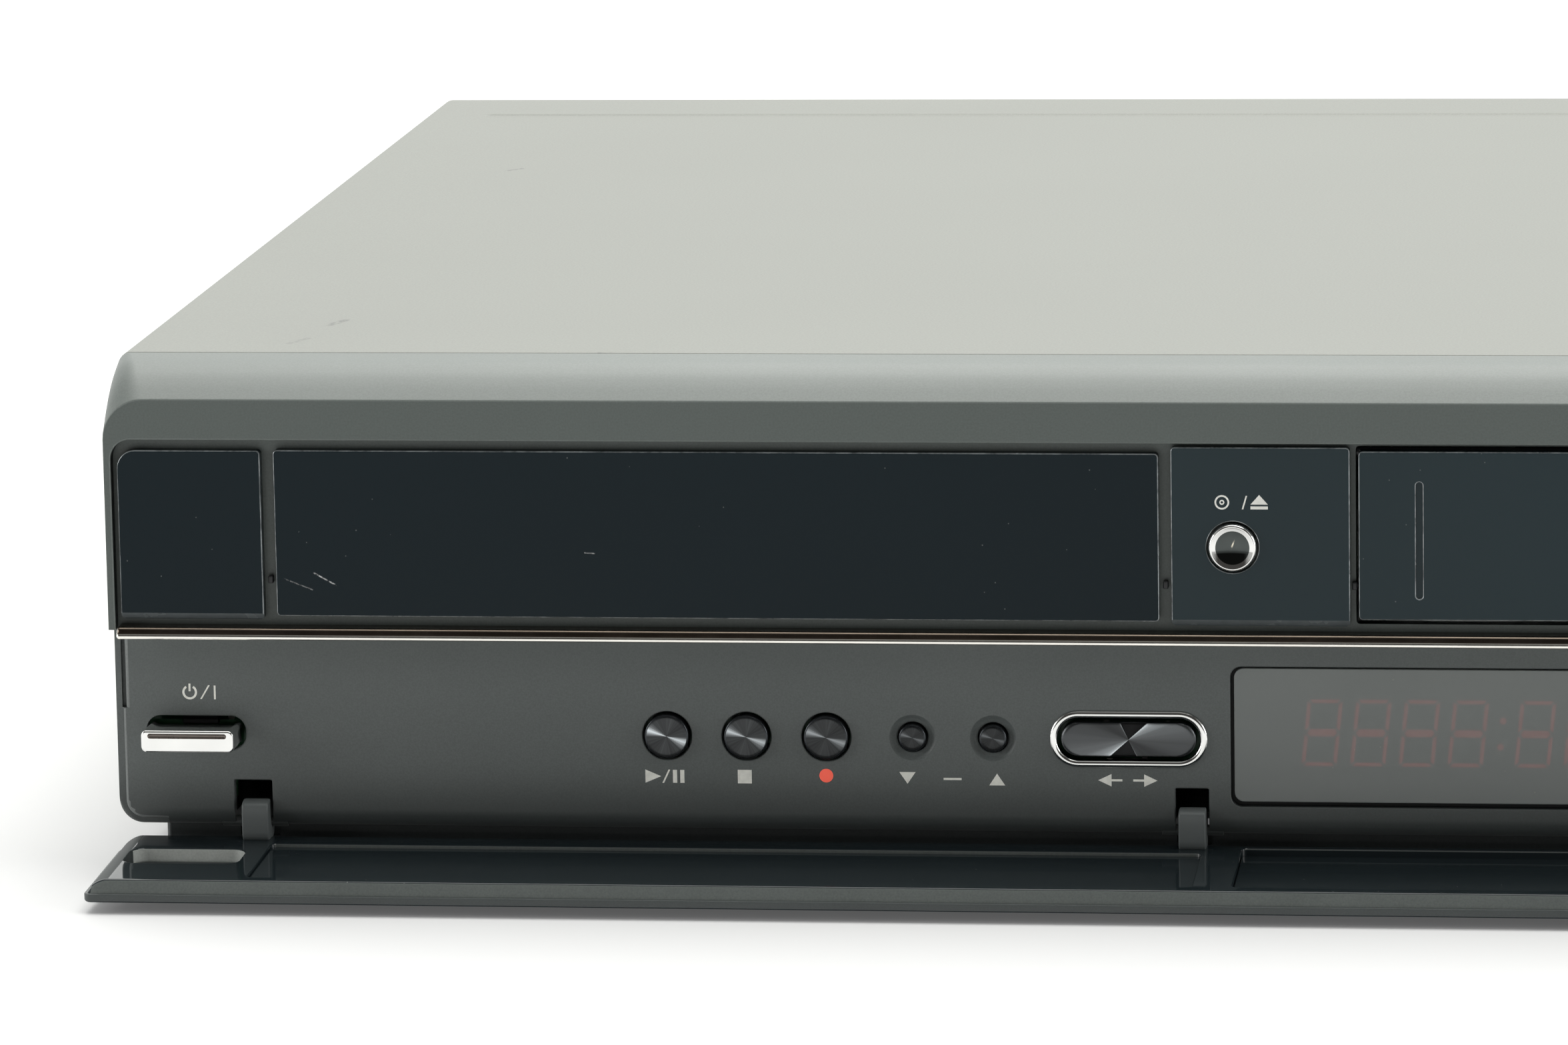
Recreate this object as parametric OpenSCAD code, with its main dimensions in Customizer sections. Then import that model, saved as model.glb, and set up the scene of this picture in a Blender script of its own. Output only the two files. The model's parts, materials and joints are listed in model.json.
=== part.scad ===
// Combined disc player and cassette recorder, built as an assembly.
// Millimetres. +X is to the right of someone facing the unit, +Y runs to the
// back, +Z is up. Inside the modules y = 0 is the plane of the upper front
// face and z = 0 is the table; place() then moves everything so that the
// origin is the centre of the footprint, at table level. The flip-down door
// is drawn open, as it lies when the controls behind it are in use.

/* [Casing] */
// Width over the sheet metal cover
body_w = 430; // [420:1:440]
// Height of the cover above the table
body_top = 87; // [84:0.5:92]
// Height of the underside above the table
foot_h = 8.5; // [7:0.5:10]
// Depth from front face to the back edge of the cover
body_d = 346; // [336:1:360]
// Sheet thickness of the cover
sheet = 0.8; // [0.6:0.1:1.2]
// Depth of the moulded front panel
front_d = 14.8; // [12:0.2:18]
// Height of the crease under the curved shoulder
crease_z = 81.4; // [80:0.1:82]

/* [Front] */
// How far the lower fascia sits behind the upper face
fascia_y = 3.3; // [2.8:0.1:3.6]
// Bottom of the recess that holds the black plates
recess_z0 = 43.1; // [42:0.1:44]
// Top of the recess that holds the black plates
recess_z1 = 74.6; // [74:0.1:75]
// Height of the row of control buttons
button_z = 24.5; // [23:0.1:26]
// Gap between button stems and their switches
press = 1.4; // [1:0.1:1.6]

/* [Door] */
// Hinge axis, distance behind the front face
hinge_y = 5.0; // [4.8:0.1:5.2]
// Hinge axis, height above the table
hinge_z = 9.0; // [8.8:0.1:9.2]
// Height of the closed door's upper edge
door_top = 40.7; // [40:0.1:40.8]
// Radius of the hinge pins
hinge_pin_r = 0.9; // [0.8:0.05:1]

/* [Disc drive] */
// Middle of the disc tray, left of the unit's middle
disc_x = -112.85; // [-114:0.05:-112]
// Middle of the disc well behind the front face
disc_y = 75.5; // [74:0.5:77]
// Disc well diameter
well_d = 121; // [120.5:0.1:122]

/* [Cassette deck] */
// Middle of the cassette opening
tape_x = 89.9; // [89:0.1:91]
// Height of the cassette bay
bay_h = 25.4; // [25.2:0.1:25.6]
// Drum diameter
drum_d = 62; // [61:0.5:62]
// How far the cassette holder sinks
holder_drop = 18; // [14:1:18]

/* [Hidden] */
$fn = 48;
hw = body_w / 2;
rear_y = 354;                         // tips of the rear sockets
door_front = hinge_y + hinge_z - door_top;
shift_y = -(rear_y + door_front) / 2;
door_in = hinge_z - hinge_y + 2.5;    // open door, height of inner face
door_out = hinge_z - hinge_y - 1.3;   // open door, height of outer face
door_sag = 1.5;                       // open door, degrees its front edge drops below level
inner_x = hw - 1.2;
charcoal = [0.24, 0.25, 0.26];
slate = [0.36, 0.38, 0.38];
gloss = [0.03, 0.035, 0.04];
steel = [0.72, 0.73, 0.74];
board = [0.10, 0.30, 0.16];
pin_gap = 0.05;
slots = [[-195.1, -188.65], [-37.2, -31.6], [77.4, 83.2], [188.65, 195.1]];
plate_y0 = 0.3;
plate_y1 = 2.4;
wall_y = 4.6;                          // back of the upper front wall

module place() { translate([0, shift_y, 0]) children(); }

module bx(x0, x1, y0, y1, z0, z1) {
    translate([x0, y0, z0]) cube([x1 - x0, y1 - y0, z1 - z0]);
}

// rounded rectangle made of squares and circles, so arcs stay true
module rr2(x0, x1, z0, z1, r) {
    translate([x0 + r, z0]) square([x1 - x0 - 2 * r, z1 - z0]);
    translate([x0, z0 + r]) square([x1 - x0, z1 - z0 - 2 * r]);
    for (x = [x0 + r, x1 - r], z = [z0 + r, z1 - r])
        translate([x, z]) circle(r);
}

// the same outline standing in XZ, from y0 back to y1
module rp(x0, x1, z0, z1, r, y0, y1) {
    translate([0, y1, 0]) rotate([90, 0, 0])
        linear_extrude(y1 - y0) rr2(x0, x1, z0, z1, r);
}

// the same outline lying in XY
module rf(x0, x1, y0, y1, r, z0, z1) {
    translate([0, 0, z0]) linear_extrude(z1 - z0) rr2(x0, x1, y0, y1, r);
}

// cylinder along +Y from y0 to y1
module cy(x, z, r, y0, y1) {
    translate([x, y0, z]) rotate([-90, 0, 0]) cylinder(r = r, h = y1 - y0);
}

// cylinder along +Z from z0 to z1
module cz(x, y, r, z0, z1) {
    translate([x, y, z0]) cylinder(r = r, h = z1 - z0);
}

// cylinder along +X from x0 to x1
module cx(y, z, r, x0, x1) {
    translate([x0, y, z]) rotate([0, 90, 0]) cylinder(r = r, h = x1 - x0);
}

// profile drawn in (y, z), extruded along X
module px(x0, x1, pts) {
    translate([x0, 0, 0]) rotate([90, 0, 90])
        linear_extrude(x1 - x0) polygon(pts);
}

// gear of module 1, teeth as trapezoids with running play
module gear2(n) {
    r = n / 2;
    circle(r - 1.05);
    for (k = [0 : n - 1]) rotate(k * 360 / n)
        polygon([[r - 1.5, -0.85], [r - 1.0, -0.85], [r, -0.55],
                 [r + 0.8, -0.25], [r + 0.8, 0.25], [r, 0.55],
                 [r - 1.0, 0.85], [r - 1.5, 0.85]]);
}

// toothed rack along Y: pitch line at x, teeth to +X, gap centred on y = c
module rack(x, c, y0, y1, back, z0, z1) {
    bx(x - back, x - 1.0, y0, y1, z0, z1);
    n0 = ceil((y0 + 1 - c) / PI - 0.5);
    n1 = floor((y1 - 1 - c) / PI - 0.5);
    for (k = [n0 : n1]) translate([x, c + (k + 0.5) * PI, z0])
        linear_extrude(z1 - z0)
            polygon([[-1.2, -0.85], [-1.0, -0.85], [0, -0.55], [0.8, -0.25],
                     [0.8, 0.25], [0, 0.55], [-1.0, 0.85], [-1.2, 0.85]]);
}

// pan head screw, axis +Y is into the panel, head standing out to -Y
module screw_head(r, h) {
    difference() {
        translate([0, 0, 0]) rotate([90, 0, 0])
            cylinder(r1 = r, r2 = r * 0.72, h = h);
        translate([-r * 0.55, -h - 0.01, -0.3]) cube([r * 1.1, h * 0.7, 0.6]);
        translate([-0.3, -h - 0.01, -r * 0.55]) cube([0.6, h * 0.7, r * 1.1]);
    }
}

/* ---------- casing ---------- */

module cover_outline(d) {
    r = 2.2 - d;
    translate([-hw + d + r, foot_h + 0.5]) square([body_w - 2 * d - 2 * r, body_top - foot_h - 0.5 - d]);
    translate([-hw + d, foot_h + 0.5]) square([body_w - 2 * d, body_top - foot_h - 0.5 - d - r]);
    for (s = [-1, 1]) translate([s * (hw - d - r), body_top - d - r]) circle(r);
}

module top_cover() {
    color(slate) place() difference() {
        translate([0, body_d, 0]) rotate([90, 0, 0])
            linear_extrude(body_d - front_d) difference() {
                cover_outline(0);
                difference() {
                    cover_outline(sheet);
                    // hems folded in along both lower edges
                    for (s = [-1, 1])
                        translate([s * (hw - 1.2) - 1.2, foot_h]) square([2.4, 1.3]);
                }
            }
        // stamped line near the back edge
        rf(-201, 201, 320.9, 322.3, 0.69, body_top - 0.35, body_top + 1);
        // air slots in both sides
        for (s = [-1, 1], k = [0 : 13])
            bx(s > 0 ? hw - 2 : -hw - 1, s > 0 ? hw + 1 : -hw + 2,
               232 + k * 6, 234.4 + k * 6, 34, 58);
        // holes for the side screws
        for (s = [-1, 1], y = [60, 300])
            cx(y, 26, 2.0, s > 0 ? hw - 2 : -hw - 1, s > 0 ? hw + 1 : -hw + 2);
        // holes for the back screws
        for (x = [-170, 0, 170]) cy(x, body_top - 5, 0.1, body_d, body_d + 0.1);
    }
}

module bezel_slice(y, zt, rt, rb) {
    translate([0, y + 0.1, 0]) rotate([90, 0, 0]) linear_extrude(0.1) {
        hull() {
            for (s = [-1, 1]) {
                translate([s * (hw - rt), zt - rt]) circle(rt, $fn = 32);
                translate([s * (hw - rb), foot_h + rb]) circle(rb, $fn = 32);
            }
        }
    }
}

module bezel_block() {
    hull() {
        bezel_slice(0, crease_z, 7, 4.5);
        bezel_slice(1.2, crease_z + 1.15, 6.6, 4.4);
        bezel_slice(3.2, crease_z + 2.5, 5.9, 4.2);
        bezel_slice(6, crease_z + 3.85, 5.0, 4.0);
        bezel_slice(9.4, crease_z + 4.9, 3.9, 3.7);
        bezel_slice(front_d - 0.1, body_top, 2.2, 3.2);
    }
}

module front_bezel() {
    color(charcoal) place() {
        difference() {
            union() {
                bezel_block();
                // tongue that slides under the cover
                difference() {
                    rp(-hw + 1.3, hw - 1.3, foot_h + 1.2, body_top - 1.1, 2.0, front_d - 1, 20.5);
                    bx(-hw + 3.2, hw - 3.2, front_d - 2, 22, foot_h + 3.2, body_top - 3.0);
                    bx(-hw, hw, front_d + 0.3, 22, 0, foot_h + 3.3);
                    // gaps for the screen of the deck and drive screws
                    bx(-60, 60, front_d + 0.3, 22, body_top - 4, body_top);
                }
            }
            // hollow behind the upper wall
            bx(-hw + 2.2, hw - 2.2, wall_y, front_d + 0.5, 42.6, crease_z - 1.5);
            // hollow behind the fascia
            bx(-hw + 2.2, hw - 2.2, fascia_y + 2, front_d + 0.5, foot_h + 2.2, 42.7);
            bx(-hw + 4, hw - 4, 9.5, front_d + 0.5, 70, body_top - 3.0);
            // lower half set back for the door
            bx(-hw - 1, hw + 1, -1, fascia_y, foot_h - 1, recess_z0);
            // recess for the plates
            rp(-hw + 1.2, hw - 1.2, recess_z0 - 4, recess_z1, 3.4, -1, plate_y1);
            bx(-hw + 1.2, hw - 1.2, -1, plate_y1, recess_z0 - 1, recess_z0 + 5);
            // tray window, cassette window
            bx(disc_x - 67.4, disc_x + 67.4, 0, wall_y + 1, 48.6, 66.6);
            bx(tape_x - 96.9, tape_x + 96.9, 0, wall_y + 1, 44.5, 73.9);
            // sockets for the flap's trunnions
            cx(3.4, 72.9, 0.85, tape_x - 99.2, tape_x + 99.2);
            // eject buttons
            for (x = [-27.2, 200.7]) cy(x, 57.4, 3.7, 0, wall_y + 1);
            // power button
            rp(-209.8, -192.9, 21.5, 27.2, 2.8, 0, fascia_y + 3);
            // play, stop, record
            for (x = [-121.7, -108.4, -95.05]) cy(x, button_z, 4.1, 0, fascia_y + 3);
            // programme buttons with shallow dishes
            for (x = [-80.7, -67.3]) {
                cy(x, button_z, 2.6, 0, fascia_y + 3);
                translate([x, fascia_y - 0.01, button_z]) rotate([-90, 0, 0])
                    cylinder(r1 = 3.75, r2 = 2.9, h = 0.55);
            }
            // dubbing button
            rp(-57.0, -32.6, 20.65, 28.45, 3.88, 0, fascia_y + 3);
            // display window seat
            rp(-27.9, 70.2, 13.8, 36.8, 1.7, 0, fascia_y + 1.3);
            rp(-25.5, 67.8, 16.2, 34.4, 1, 0, fascia_y + 3);
            // socket holes on the right
            for (x = [112, 126, 140]) cy(x, 24.5, 5.2, 0, fascia_y + 3);
            cy(156, 24.5, 5.6, 0, fascia_y + 3);
            // slots for the door arms, bores for their pins
            for (s = slots) {
                bx(s[0], s[1], 0, front_d + 0.5, foot_h - 1, 16.3);
                cx(hinge_y, hinge_z, hinge_pin_r, s[0] - 2.3, s[1] + 2.3);
            }
        }
        // ears that carry the hinge pins
        difference() {
            for (s = slots) for (e = [[s[0] - 2.4, s[0]], [s[1], s[1] + 2.4]]) {
                cx(hinge_y, hinge_z, 2.1, e[0], e[1]);
                bx(e[0], e[1], fascia_y + 1.5, 7.1, hinge_z, 13);
            }
            for (s = slots) cx(hinge_y, hinge_z, hinge_pin_r, s[0] - 2.3, s[1] + 2.3);
        }
        // skirt under the front edge, notched where the arms swing
        difference() {
            rf(-208, 208, 8.8, 10.8, 0.9, 3, foot_h + 0.01);
            for (s = slots) bx(s[0], s[1], 8, 11, 5.6, 9);
        }
    }
}

module rear_panel() {
    color(steel) place() difference() {
        bx(-hw + 2.5, hw - 2.5, body_d - 1.8, body_d - 0.8, foot_h + 1.0, body_top - 1.0);
        // sockets
        for (c = [0 : 3], r = [0 : 2]) cy(-150 + c * 16, 28 + r * 18, 5.0, body_d - 3, body_d + 1);
        for (x = [-190, -172]) cy(x, 62, 5.4, body_d - 3, body_d + 1);
        rp(-84, -62, 22, 30, 1, body_d - 3, body_d + 1);
        rp(-52, -37, 22, 27.5, 1, body_d - 3, body_d + 1);
        rp(170.5, 195.5, 24.5, 41.5, 2, body_d - 3, body_d + 1);
        // fan grille
        for (k = [0 : 6]) rp(112.6, 147.4, 31 + k * 5.2, 33.6 + k * 5.2, 1.2, body_d - 3, body_d + 1);
        // air slots
        for (k = [0 : 17]) rp(-20 + k * 5, -17.6 + k * 5, 30, 56, 1.1, body_d - 3, body_d + 1);
    }
}

module chassis_pan() {
    color(steel) place() {
        difference() {
            bx(-hw + 2.6, hw - 2.6, 16, body_d - 1.8, foot_h, foot_h + 1);
            for (k = [0 : 11], m = [0 : 1])
                rf(-190 + m * 190, -110 + m * 190, 210 + k * 9, 213.5 + k * 9, 1.7, foot_h - 1, foot_h + 2);
        }
        // side walls and back flange
        for (s = [-1, 1]) difference() {
            bx(s > 0 ? hw - 3.6 : -hw + 2.6, s > 0 ? hw - 2.6 : -hw + 3.6,
               21, body_d - 1.8, foot_h + 1, 32);
            for (y = [60, 300])
                cx(y, 26, 1.5, s > 0 ? hw - 4 : -hw + 2, s > 0 ? hw - 2 : -hw + 4);
        }
        // standing posts for the boards and the decks
        for (x = [-200, -36], y = [40, 186]) cz(x, y, 3, foot_h + 1, 14);
        for (x = [-200, -34], y = [222, 330]) cz(x, y, 3, foot_h + 1, 18);
        for (x = [-6, 186], y = [50, 236]) cz(x, y, 3.5, foot_h + 1, 20);
        for (x = [-184, -41.9], y = [28, 196]) cz(x, y, 2.4, foot_h + 1, 38);
    }
}

module feet() {
    color("black") place()
        for (x = [-182, 182], y = [46, 312]) difference() {
            union() {
                cz(x, y, 11, 1, foot_h);
                cz(x, y, 9.6, 0, 1.01);
            }
            cz(x, y, 5, -1, 0.8);
        }
}

module casing_screws() {
    color("black") place() {
        for (y = [60, 300]) {
            translate([hw, y, 26]) rotate([0, 0, 90]) screw_head(3.4, 1.2);
            translate([-hw, y, 26]) rotate([0, 0, -90]) screw_head(3.4, 1.2);
            cx(y, 26, 1.4, hw - 5, hw);
            cx(y, 26, 1.4, -hw, -hw + 5);
        }
        for (x = [-204, -100, 60, 204])
            translate([x, body_d - 0.8, 78]) rotate([0, 0, 180]) screw_head(3, 1.1);
    }
}

module chrome_strip() {
    color("silver") place() difference() {
        px(-inner_x + 0.4, inner_x - 0.4,
           [[-1.1, 41.1], [3.2, 41.1], [3.2, 43.1], [-0.6, 43.1],
            [-1.3, 42.75], [-1.7, 42.1], [-1.75, 41.7], [-1.5, 41.3]]);
    }
}

module trim_plate(x0, x1, z0, z1, r) {
    difference() {
        hull() {
            translate([0, plate_y1 - 0.01, 0]) rotate([90, 0, 0])
                linear_extrude(1.6) hull() for (x = [x0 + r, x1 - r], z = [z0 + r, z1 - r])
                    translate([x, z]) circle(r, $fn = 32);
            translate([0, plate_y0 + 0.01, 0]) rotate([90, 0, 0])
                linear_extrude(0.01) hull() for (x = [x0 + r, x1 - r], z = [z0 + r, z1 - r])
                    translate([x, z]) circle(r - 0.35, $fn = 32);
        }
        children();
    }
}

module left_trim_plate() {
    color(gloss) place() trim_plate(-212.8, -188.6, 44.2, 72.8, 3.1);
}

module eject_trim_plate() {
    color(gloss) place() trim_plate(-37.3, -8.0, 44.2, 74.0, 0.8)
        cy(-27.2, 57.4, 4.3, -1, 4);
}

module right_trim_plate() {
    color(gloss) place() trim_plate(188.6, 212.8, 44.2, 72.8, 3.1)
        cy(200.7, 57.4, 4.3, -1, 4);
}

module display_window() {
    color([0.16, 0.15, 0.17, 0.7]) place()
        rp(-27.7, 70.0, 14.0, 36.6, 1.6, fascia_y + 0.1, fascia_y + 1.3);
}

/* ---------- flip-down door ---------- */
// drawn open: closed (y, z) sits at y' = hinge_y + hinge_z - z

function open_y(z) = hinge_y + hinge_z - z;

module door_outline(d) {
    y0 = door_front + d - 0.15;
    y1 = open_y(foot_h) - d;
    hull() {
        for (s = [-1, 1]) {
            translate([s * (hw - 1.2 - d), y0 + 1.2]) circle(1.2, $fn = 24);
            translate([s * (hw - 3.6), y1 - 3.6 + d]) circle(3.6 - d, $fn = 40);
        }
    }
}

// the open door hangs a little past level, turned about its pins
module sag() {
    translate([0, hinge_y, hinge_z]) rotate([door_sag, 0, 0])
        translate([0, -hinge_y, -hinge_z]) children();
}

module door_frame() {
    color(charcoal) place() sag() {
        difference() {
            hull() {
                translate([0, 0, door_in - 0.02]) linear_extrude(0.02) door_outline(1.2);
                translate([0, 0, door_in - 2.3]) linear_extrude(0.02) door_outline(0.45);
            }
            // shallow pocket between the first two arms
            rf(-188.2, -32.6, -23.4, -1.0, 1.0, door_in - 1.1, door_in + 1);
            // through opening in front of the display
            rf(-26.2, 69.6, -22.9, 2.6, 1.0, 0, door_in + 1);
            // shallow pocket on the right
            rf(88, 188.2, -23.4, -1.0, 1.0, door_in - 1.1, door_in + 1);
            // way through for the power button
            rf(-211.0, -191.6, open_y(28.7), open_y(18.8), 2.6, 0, door_in + 1);
        }
        // arms that reach up into the slots
        for (s = slots) difference() {
            px(s[1] - 4.95, s[1] - 0.45,
               [[1.2, door_in - 0.01], [1.2, 12.0], [1.6, 12.7], [2.9, 13.1],
                [4.2, 13.05], [5.6, 12.5], [6.7, 11.5], [7.1, 10.2],
                [6.9, 8.0], [6.2, door_in - 0.01]]);
            cx(hinge_y, hinge_z, hinge_pin_r + pin_gap, s[0], s[1]);
        }
    }
}

module door_panel() {
    color(gloss) place() sag() difference() {
        hull() {
            translate([0, 0, door_out + 0.5]) linear_extrude(1.0) door_outline(0);
            translate([0, 0, door_out]) linear_extrude(0.02) door_outline(0.5);
        }
        rf(-210.7, -191.9, open_y(28.4), open_y(19.1), 2.3, 0, door_in + 1);
    }
}

module door_hinge_pins() {
    color("silver") place() for (s = slots)
        cx(hinge_y, hinge_z, hinge_pin_r, s[0] - 2.3, s[1] + 2.3);
}

/* ---------- buttons ---------- */

module round_button(x, z, r, y0) {
    difference() {
        union() {
            cy(x, z, r, y0 + 0.35, 5.3);
            translate([x, y0, z]) rotate([-90, 0, 0])
                cylinder(r1 = r - 0.35, r2 = r, h = 0.36);
        }
        // spun, slightly hollow face
        translate([x, y0 - 0.01, z]) rotate([-90, 0, 0])
            cylinder(r1 = r - 0.6, r2 = r - 1.2, h = 0.12);
    }
    cy(x, z, 1.3, 5.2, 6.0);
}

module play_button() { color([0.3, 0.31, 0.33]) place() round_button(-121.7, button_z, 3.7, 2.4); }
module stop_button() { color([0.3, 0.31, 0.33]) place() round_button(-108.4, button_z, 3.7, 2.4); }
module record_button() { color([0.3, 0.31, 0.33]) place() round_button(-95.05, button_z, 3.7, 2.4); }
module prog_down_button() { color([0.3, 0.31, 0.33]) place() round_button(-80.7, button_z, 2.3, 2.9); }
module prog_up_button() { color([0.3, 0.31, 0.33]) place() round_button(-67.3, button_z, 2.3, 2.9); }

module dubbing_button() {
    color([0.3, 0.31, 0.33]) place() {
        difference() {
            hull() {
                rp(-56.0, -33.6, 21.65, 27.45, 2.88, 3.2, 5.3);
                rp(-55.4, -34.2, 22.25, 26.85, 2.28, 2.7, 3.2);
            }
            rp(-54.8, -34.8, 22.85, 26.25, 1.6, 2.0, 2.85);
        }
        cy(-44.8, 24.55, 1.3, 5.2, 6.0);
    }
}

module dubbing_ring() {
    color("silver") place() difference() {
        union() {
            rp(-57.9, -31.7, 19.75, 29.35, 4.78, 2.75, fascia_y);
            rp(-57.0, -32.6, 20.65, 28.45, 3.88, fascia_y - 0.01, fascia_y + 1.4);
        }
        rp(-56.6, -33.0, 21.05, 28.05, 3.48, 1, 6);
        hull() {
            rp(-57.5, -32.1, 20.15, 28.95, 4.38, 2.7, 2.76);
            rp(-56.6, -33.0, 21.05, 28.05, 3.48, 3.3, 3.36);
        }
    }
}

module power_button() {
    color("silver") place() {
        rp(-209.15, -193.5, 22.5, 26.25, 1.2, -4.0, 5.3);
        hull() {
            rp(-209.15, -193.5, 22.5, 26.25, 1.2, -4.05, -4.0);
            rp(-208.75, -193.9, 22.9, 25.85, 0.8, -4.5, -4.45);
        }
        cy(-201.3, 24.4, 1.3, 5.2, 6.0);
    }
}

module eject_button(x) {
    difference() {
        union() {
            cy(x, 57.4, 3.5, -0.1, 5.0);
            cy(x, 57.4, 3.97, -0.1, 0.9);
            translate([x, -0.6, 57.4]) rotate([-90, 0, 0])
                cylinder(r1 = 3.55, r2 = 3.97, h = 0.51);
        }
        // bright dished face
        translate([x, -6.9, 57.4]) sphere(r = 7.2, $fn = 64);
    }
    cy(x, 57.4, 1.3, 4.9, 6.0);
}

module dvd_eject_button() { color("silver") place() eject_button(-27.2); }
module vcr_eject_button() { color("silver") place() eject_button(200.7); }

/* ---------- disc drive ---------- */

module tray_cover() {
    color(gloss) place() trim_plate(-186.4, -39.3, 44.9, 72.9, 0.6);
}

module disc_tray() {
    tx0 = disc_x - 65.1; tx1 = disc_x + 65.1;
    color([0.12, 0.12, 0.13]) place() difference() {
        union() {
            bx(tx0, tx1, 6, 156, 54, 61);
            bx(disc_x - 63, disc_x + 63, plate_y1 - 0.01, 6.01, 51, 64);
            rack(disc_x - 51.35, 20, 10, 156, 4, 50.6, 54.01);
        }
        // disc well, small disc well and finger scoops
        cz(disc_x, disc_y, well_d / 2, 58.2, 62);
        cz(disc_x, disc_y, 40.5, 56.8, 62);
        for (s = [-1, 1]) translate([disc_x + s * 40, 12, 61]) rotate([-90, 0, 0])
            translate([0, 0, -1.5]) scale([1, 1, 1]) cylinder(r = 5, h = 12);
        // way through for the turntable and the pickup, open to the back
        cz(disc_x, disc_y, 19, 50, 60);
        bx(disc_x - 19, disc_x + 19, disc_y, 160, 50, 62);
        // lightening
        bx(tx0 + 3, tx0 + 8, 20, 150, 53, 56);
    }
}

module drive_chassis() {
    color([0.18, 0.18, 0.19]) place() difference() {
        union() {
            bx(-187, -38.9, 8, 205, 38, 40);
            for (x = [[-187, -184.6], [-41.2, -38.9]]) bx(x[0], x[1], 8, 205, 40, 66);
            bx(-187, -38.9, 202.6, 205, 40, 60);
            // guide ledges under the tray edges
            for (x = [[-184.6, disc_x - 60], [disc_x + 60, -41.2]]) bx(x[0], x[1], 14, 200, 51.2, 53.6);
            // upper guides above the tray edges
            for (x = [[-184.6, disc_x - 62], [disc_x + 62, -41.2]], y = [20, 110]) bx(x[0], x[1], y, y + 14, 61.4, 63);
            cz(disc_x - 39.35, 20, 1.45, 40, 50.9);
            cz(disc_x - 39.35, 20, 3.5, 40, 44.4);
            // pivot posts of the pickup base
            for (s = [-1, 1]) bx(disc_x + s * 41 - 2, disc_x + s * 41 + 2, 177, 186, 40, 46);
        }
        // the rack passes the left ledge
        bx(disc_x - 56, disc_x - 48, 12, 202, 50, 54);
        // opening for the pickup base
        bx(disc_x - 39.5, disc_x + 39.5, 44, 172, 37, 41);
        bx(disc_x - 39.5, disc_x + 39.5, 30, 44.1, 37, 41);
        // belt and motor clearance
        cz(disc_x + 4, 22, 3.4, 37, 41);
        // pivot bores
        cx(181, 43.6, 1.55, disc_x - 44, disc_x + 44);
        for (x = [-184, -41.9], y = [28, 196]) cz(x, y, 1.2, 37, 41);
    }
}

module clamp_bridge() {
    color(steel) place() difference() {
        union() {
            bx(-187, -38.9, disc_y - 17, disc_y + 17, 66, 67.2);
        }
        cz(disc_x, disc_y, 11.2, 60, 70);
        for (s = [-1, 1]) cz(disc_x + s * 45, disc_y, 6, 60, 70);
    }
}

module clamp_puck() {
    color([0.85, 0.85, 0.84]) place() difference() {
        union() {
            cz(disc_x, disc_y, 15, 62.4, 64.6);
            cz(disc_x, disc_y, 10.7, 64.5, 68);
            cz(disc_x, disc_y, 13.4, 67.9, 69.2);
        }
        cz(disc_x, disc_y, 8, 62, 64);
    }
}

module pickup_base() {
    color(steel) place() {
        difference() {
            union() {
                bx(disc_x - 38, disc_x + 38, 46, 171, 42, 43.2);
                for (s = [-1, 1]) bx(s > 0 ? disc_x + 33 : disc_x - 38, s > 0 ? disc_x + 38 : disc_x - 33, 170, 183.5, 42, 45.4);
                // rod carriers
                for (x = [-27.5, 26.2]) for (y = [94, 171]) bx(disc_x + x - 2.6, disc_x + x + 2.6, y, y + 3, 43.1, 48);
            }
            bx(disc_x - 24, disc_x + 22, 97, 168, 41, 44);
            cz(disc_x, disc_y, 8, 41, 44);
            for (x = [-27.5, 26.2]) cy(disc_x + x, 45.9, 1.5, 93, 175);
            cx(181, 43.6, 1.0, disc_x - 40, disc_x + 40);
        }
        for (s = [-1, 1]) cx(181, 43.6, 1.5, s > 0 ? disc_x + 37.9 : disc_x - 43.5, s > 0 ? disc_x + 43.5 : disc_x - 37.9);
    }
}

module sled_rods() {
    color("silver") place() for (x = [-27.5, 26.2]) cy(disc_x + x, 45.9, 1.5, 94, 174);
}

module pickup_sled() {
    color([0.5, 0.5, 0.52]) place() difference() {
        union() {
            bx(disc_x - 31, disc_x + 29.2, 98, 120, 43.9, 48.6);
            cz(disc_x, 106, 4.2, 48.5, 49.3);
            rack(disc_x + 30.85, 128, 84, 134, 1.8, 44.4, 47.2);
        }
        for (x = [-27.5, 26.2]) cy(disc_x + x, 45.9, 1.55, 90, 130);
        bx(disc_x - 20, disc_x - 8, 102, 116, 46.5, 50);
        cz(disc_x, 106, 2.4, 48.9, 50);
    }
}

module sled_gear() {
    color("ivory") place() difference() {
        translate([disc_x + 36.85, 128, 44.6]) linear_extrude(2.4) gear2(12);
        cz(disc_x + 36.85, 128, 1.0, 40, 50);
    }
}

module spindle_motor() {
    color(steel) place() {
        difference() {
            cz(disc_x, disc_y, 13, 43.2, 49.4);
            cz(disc_x, disc_y, 1.55, 43, 50);
        }
        cz(disc_x + 36.85, 128, 0.95, 43.2, 47.8);
    }
}

module turntable() {
    color([0.2, 0.2, 0.21]) place() {
        cz(disc_x, disc_y, 1.5, 43.6, 51.1);
        cz(disc_x, disc_y, 14.5, 51, 52.8);
        difference() {
            cz(disc_x, disc_y, 14.2, 52.8, 53.4);
            cz(disc_x, disc_y, 10.5, 52.85, 54);
        }
        translate([disc_x, disc_y, 52.7]) cylinder(r1 = 7.4, r2 = 7.4, h = 1.6);
        translate([disc_x, disc_y, 54.3]) cylinder(r1 = 7.4, r2 = 4.5, h = 1.6);
    }
}

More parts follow.
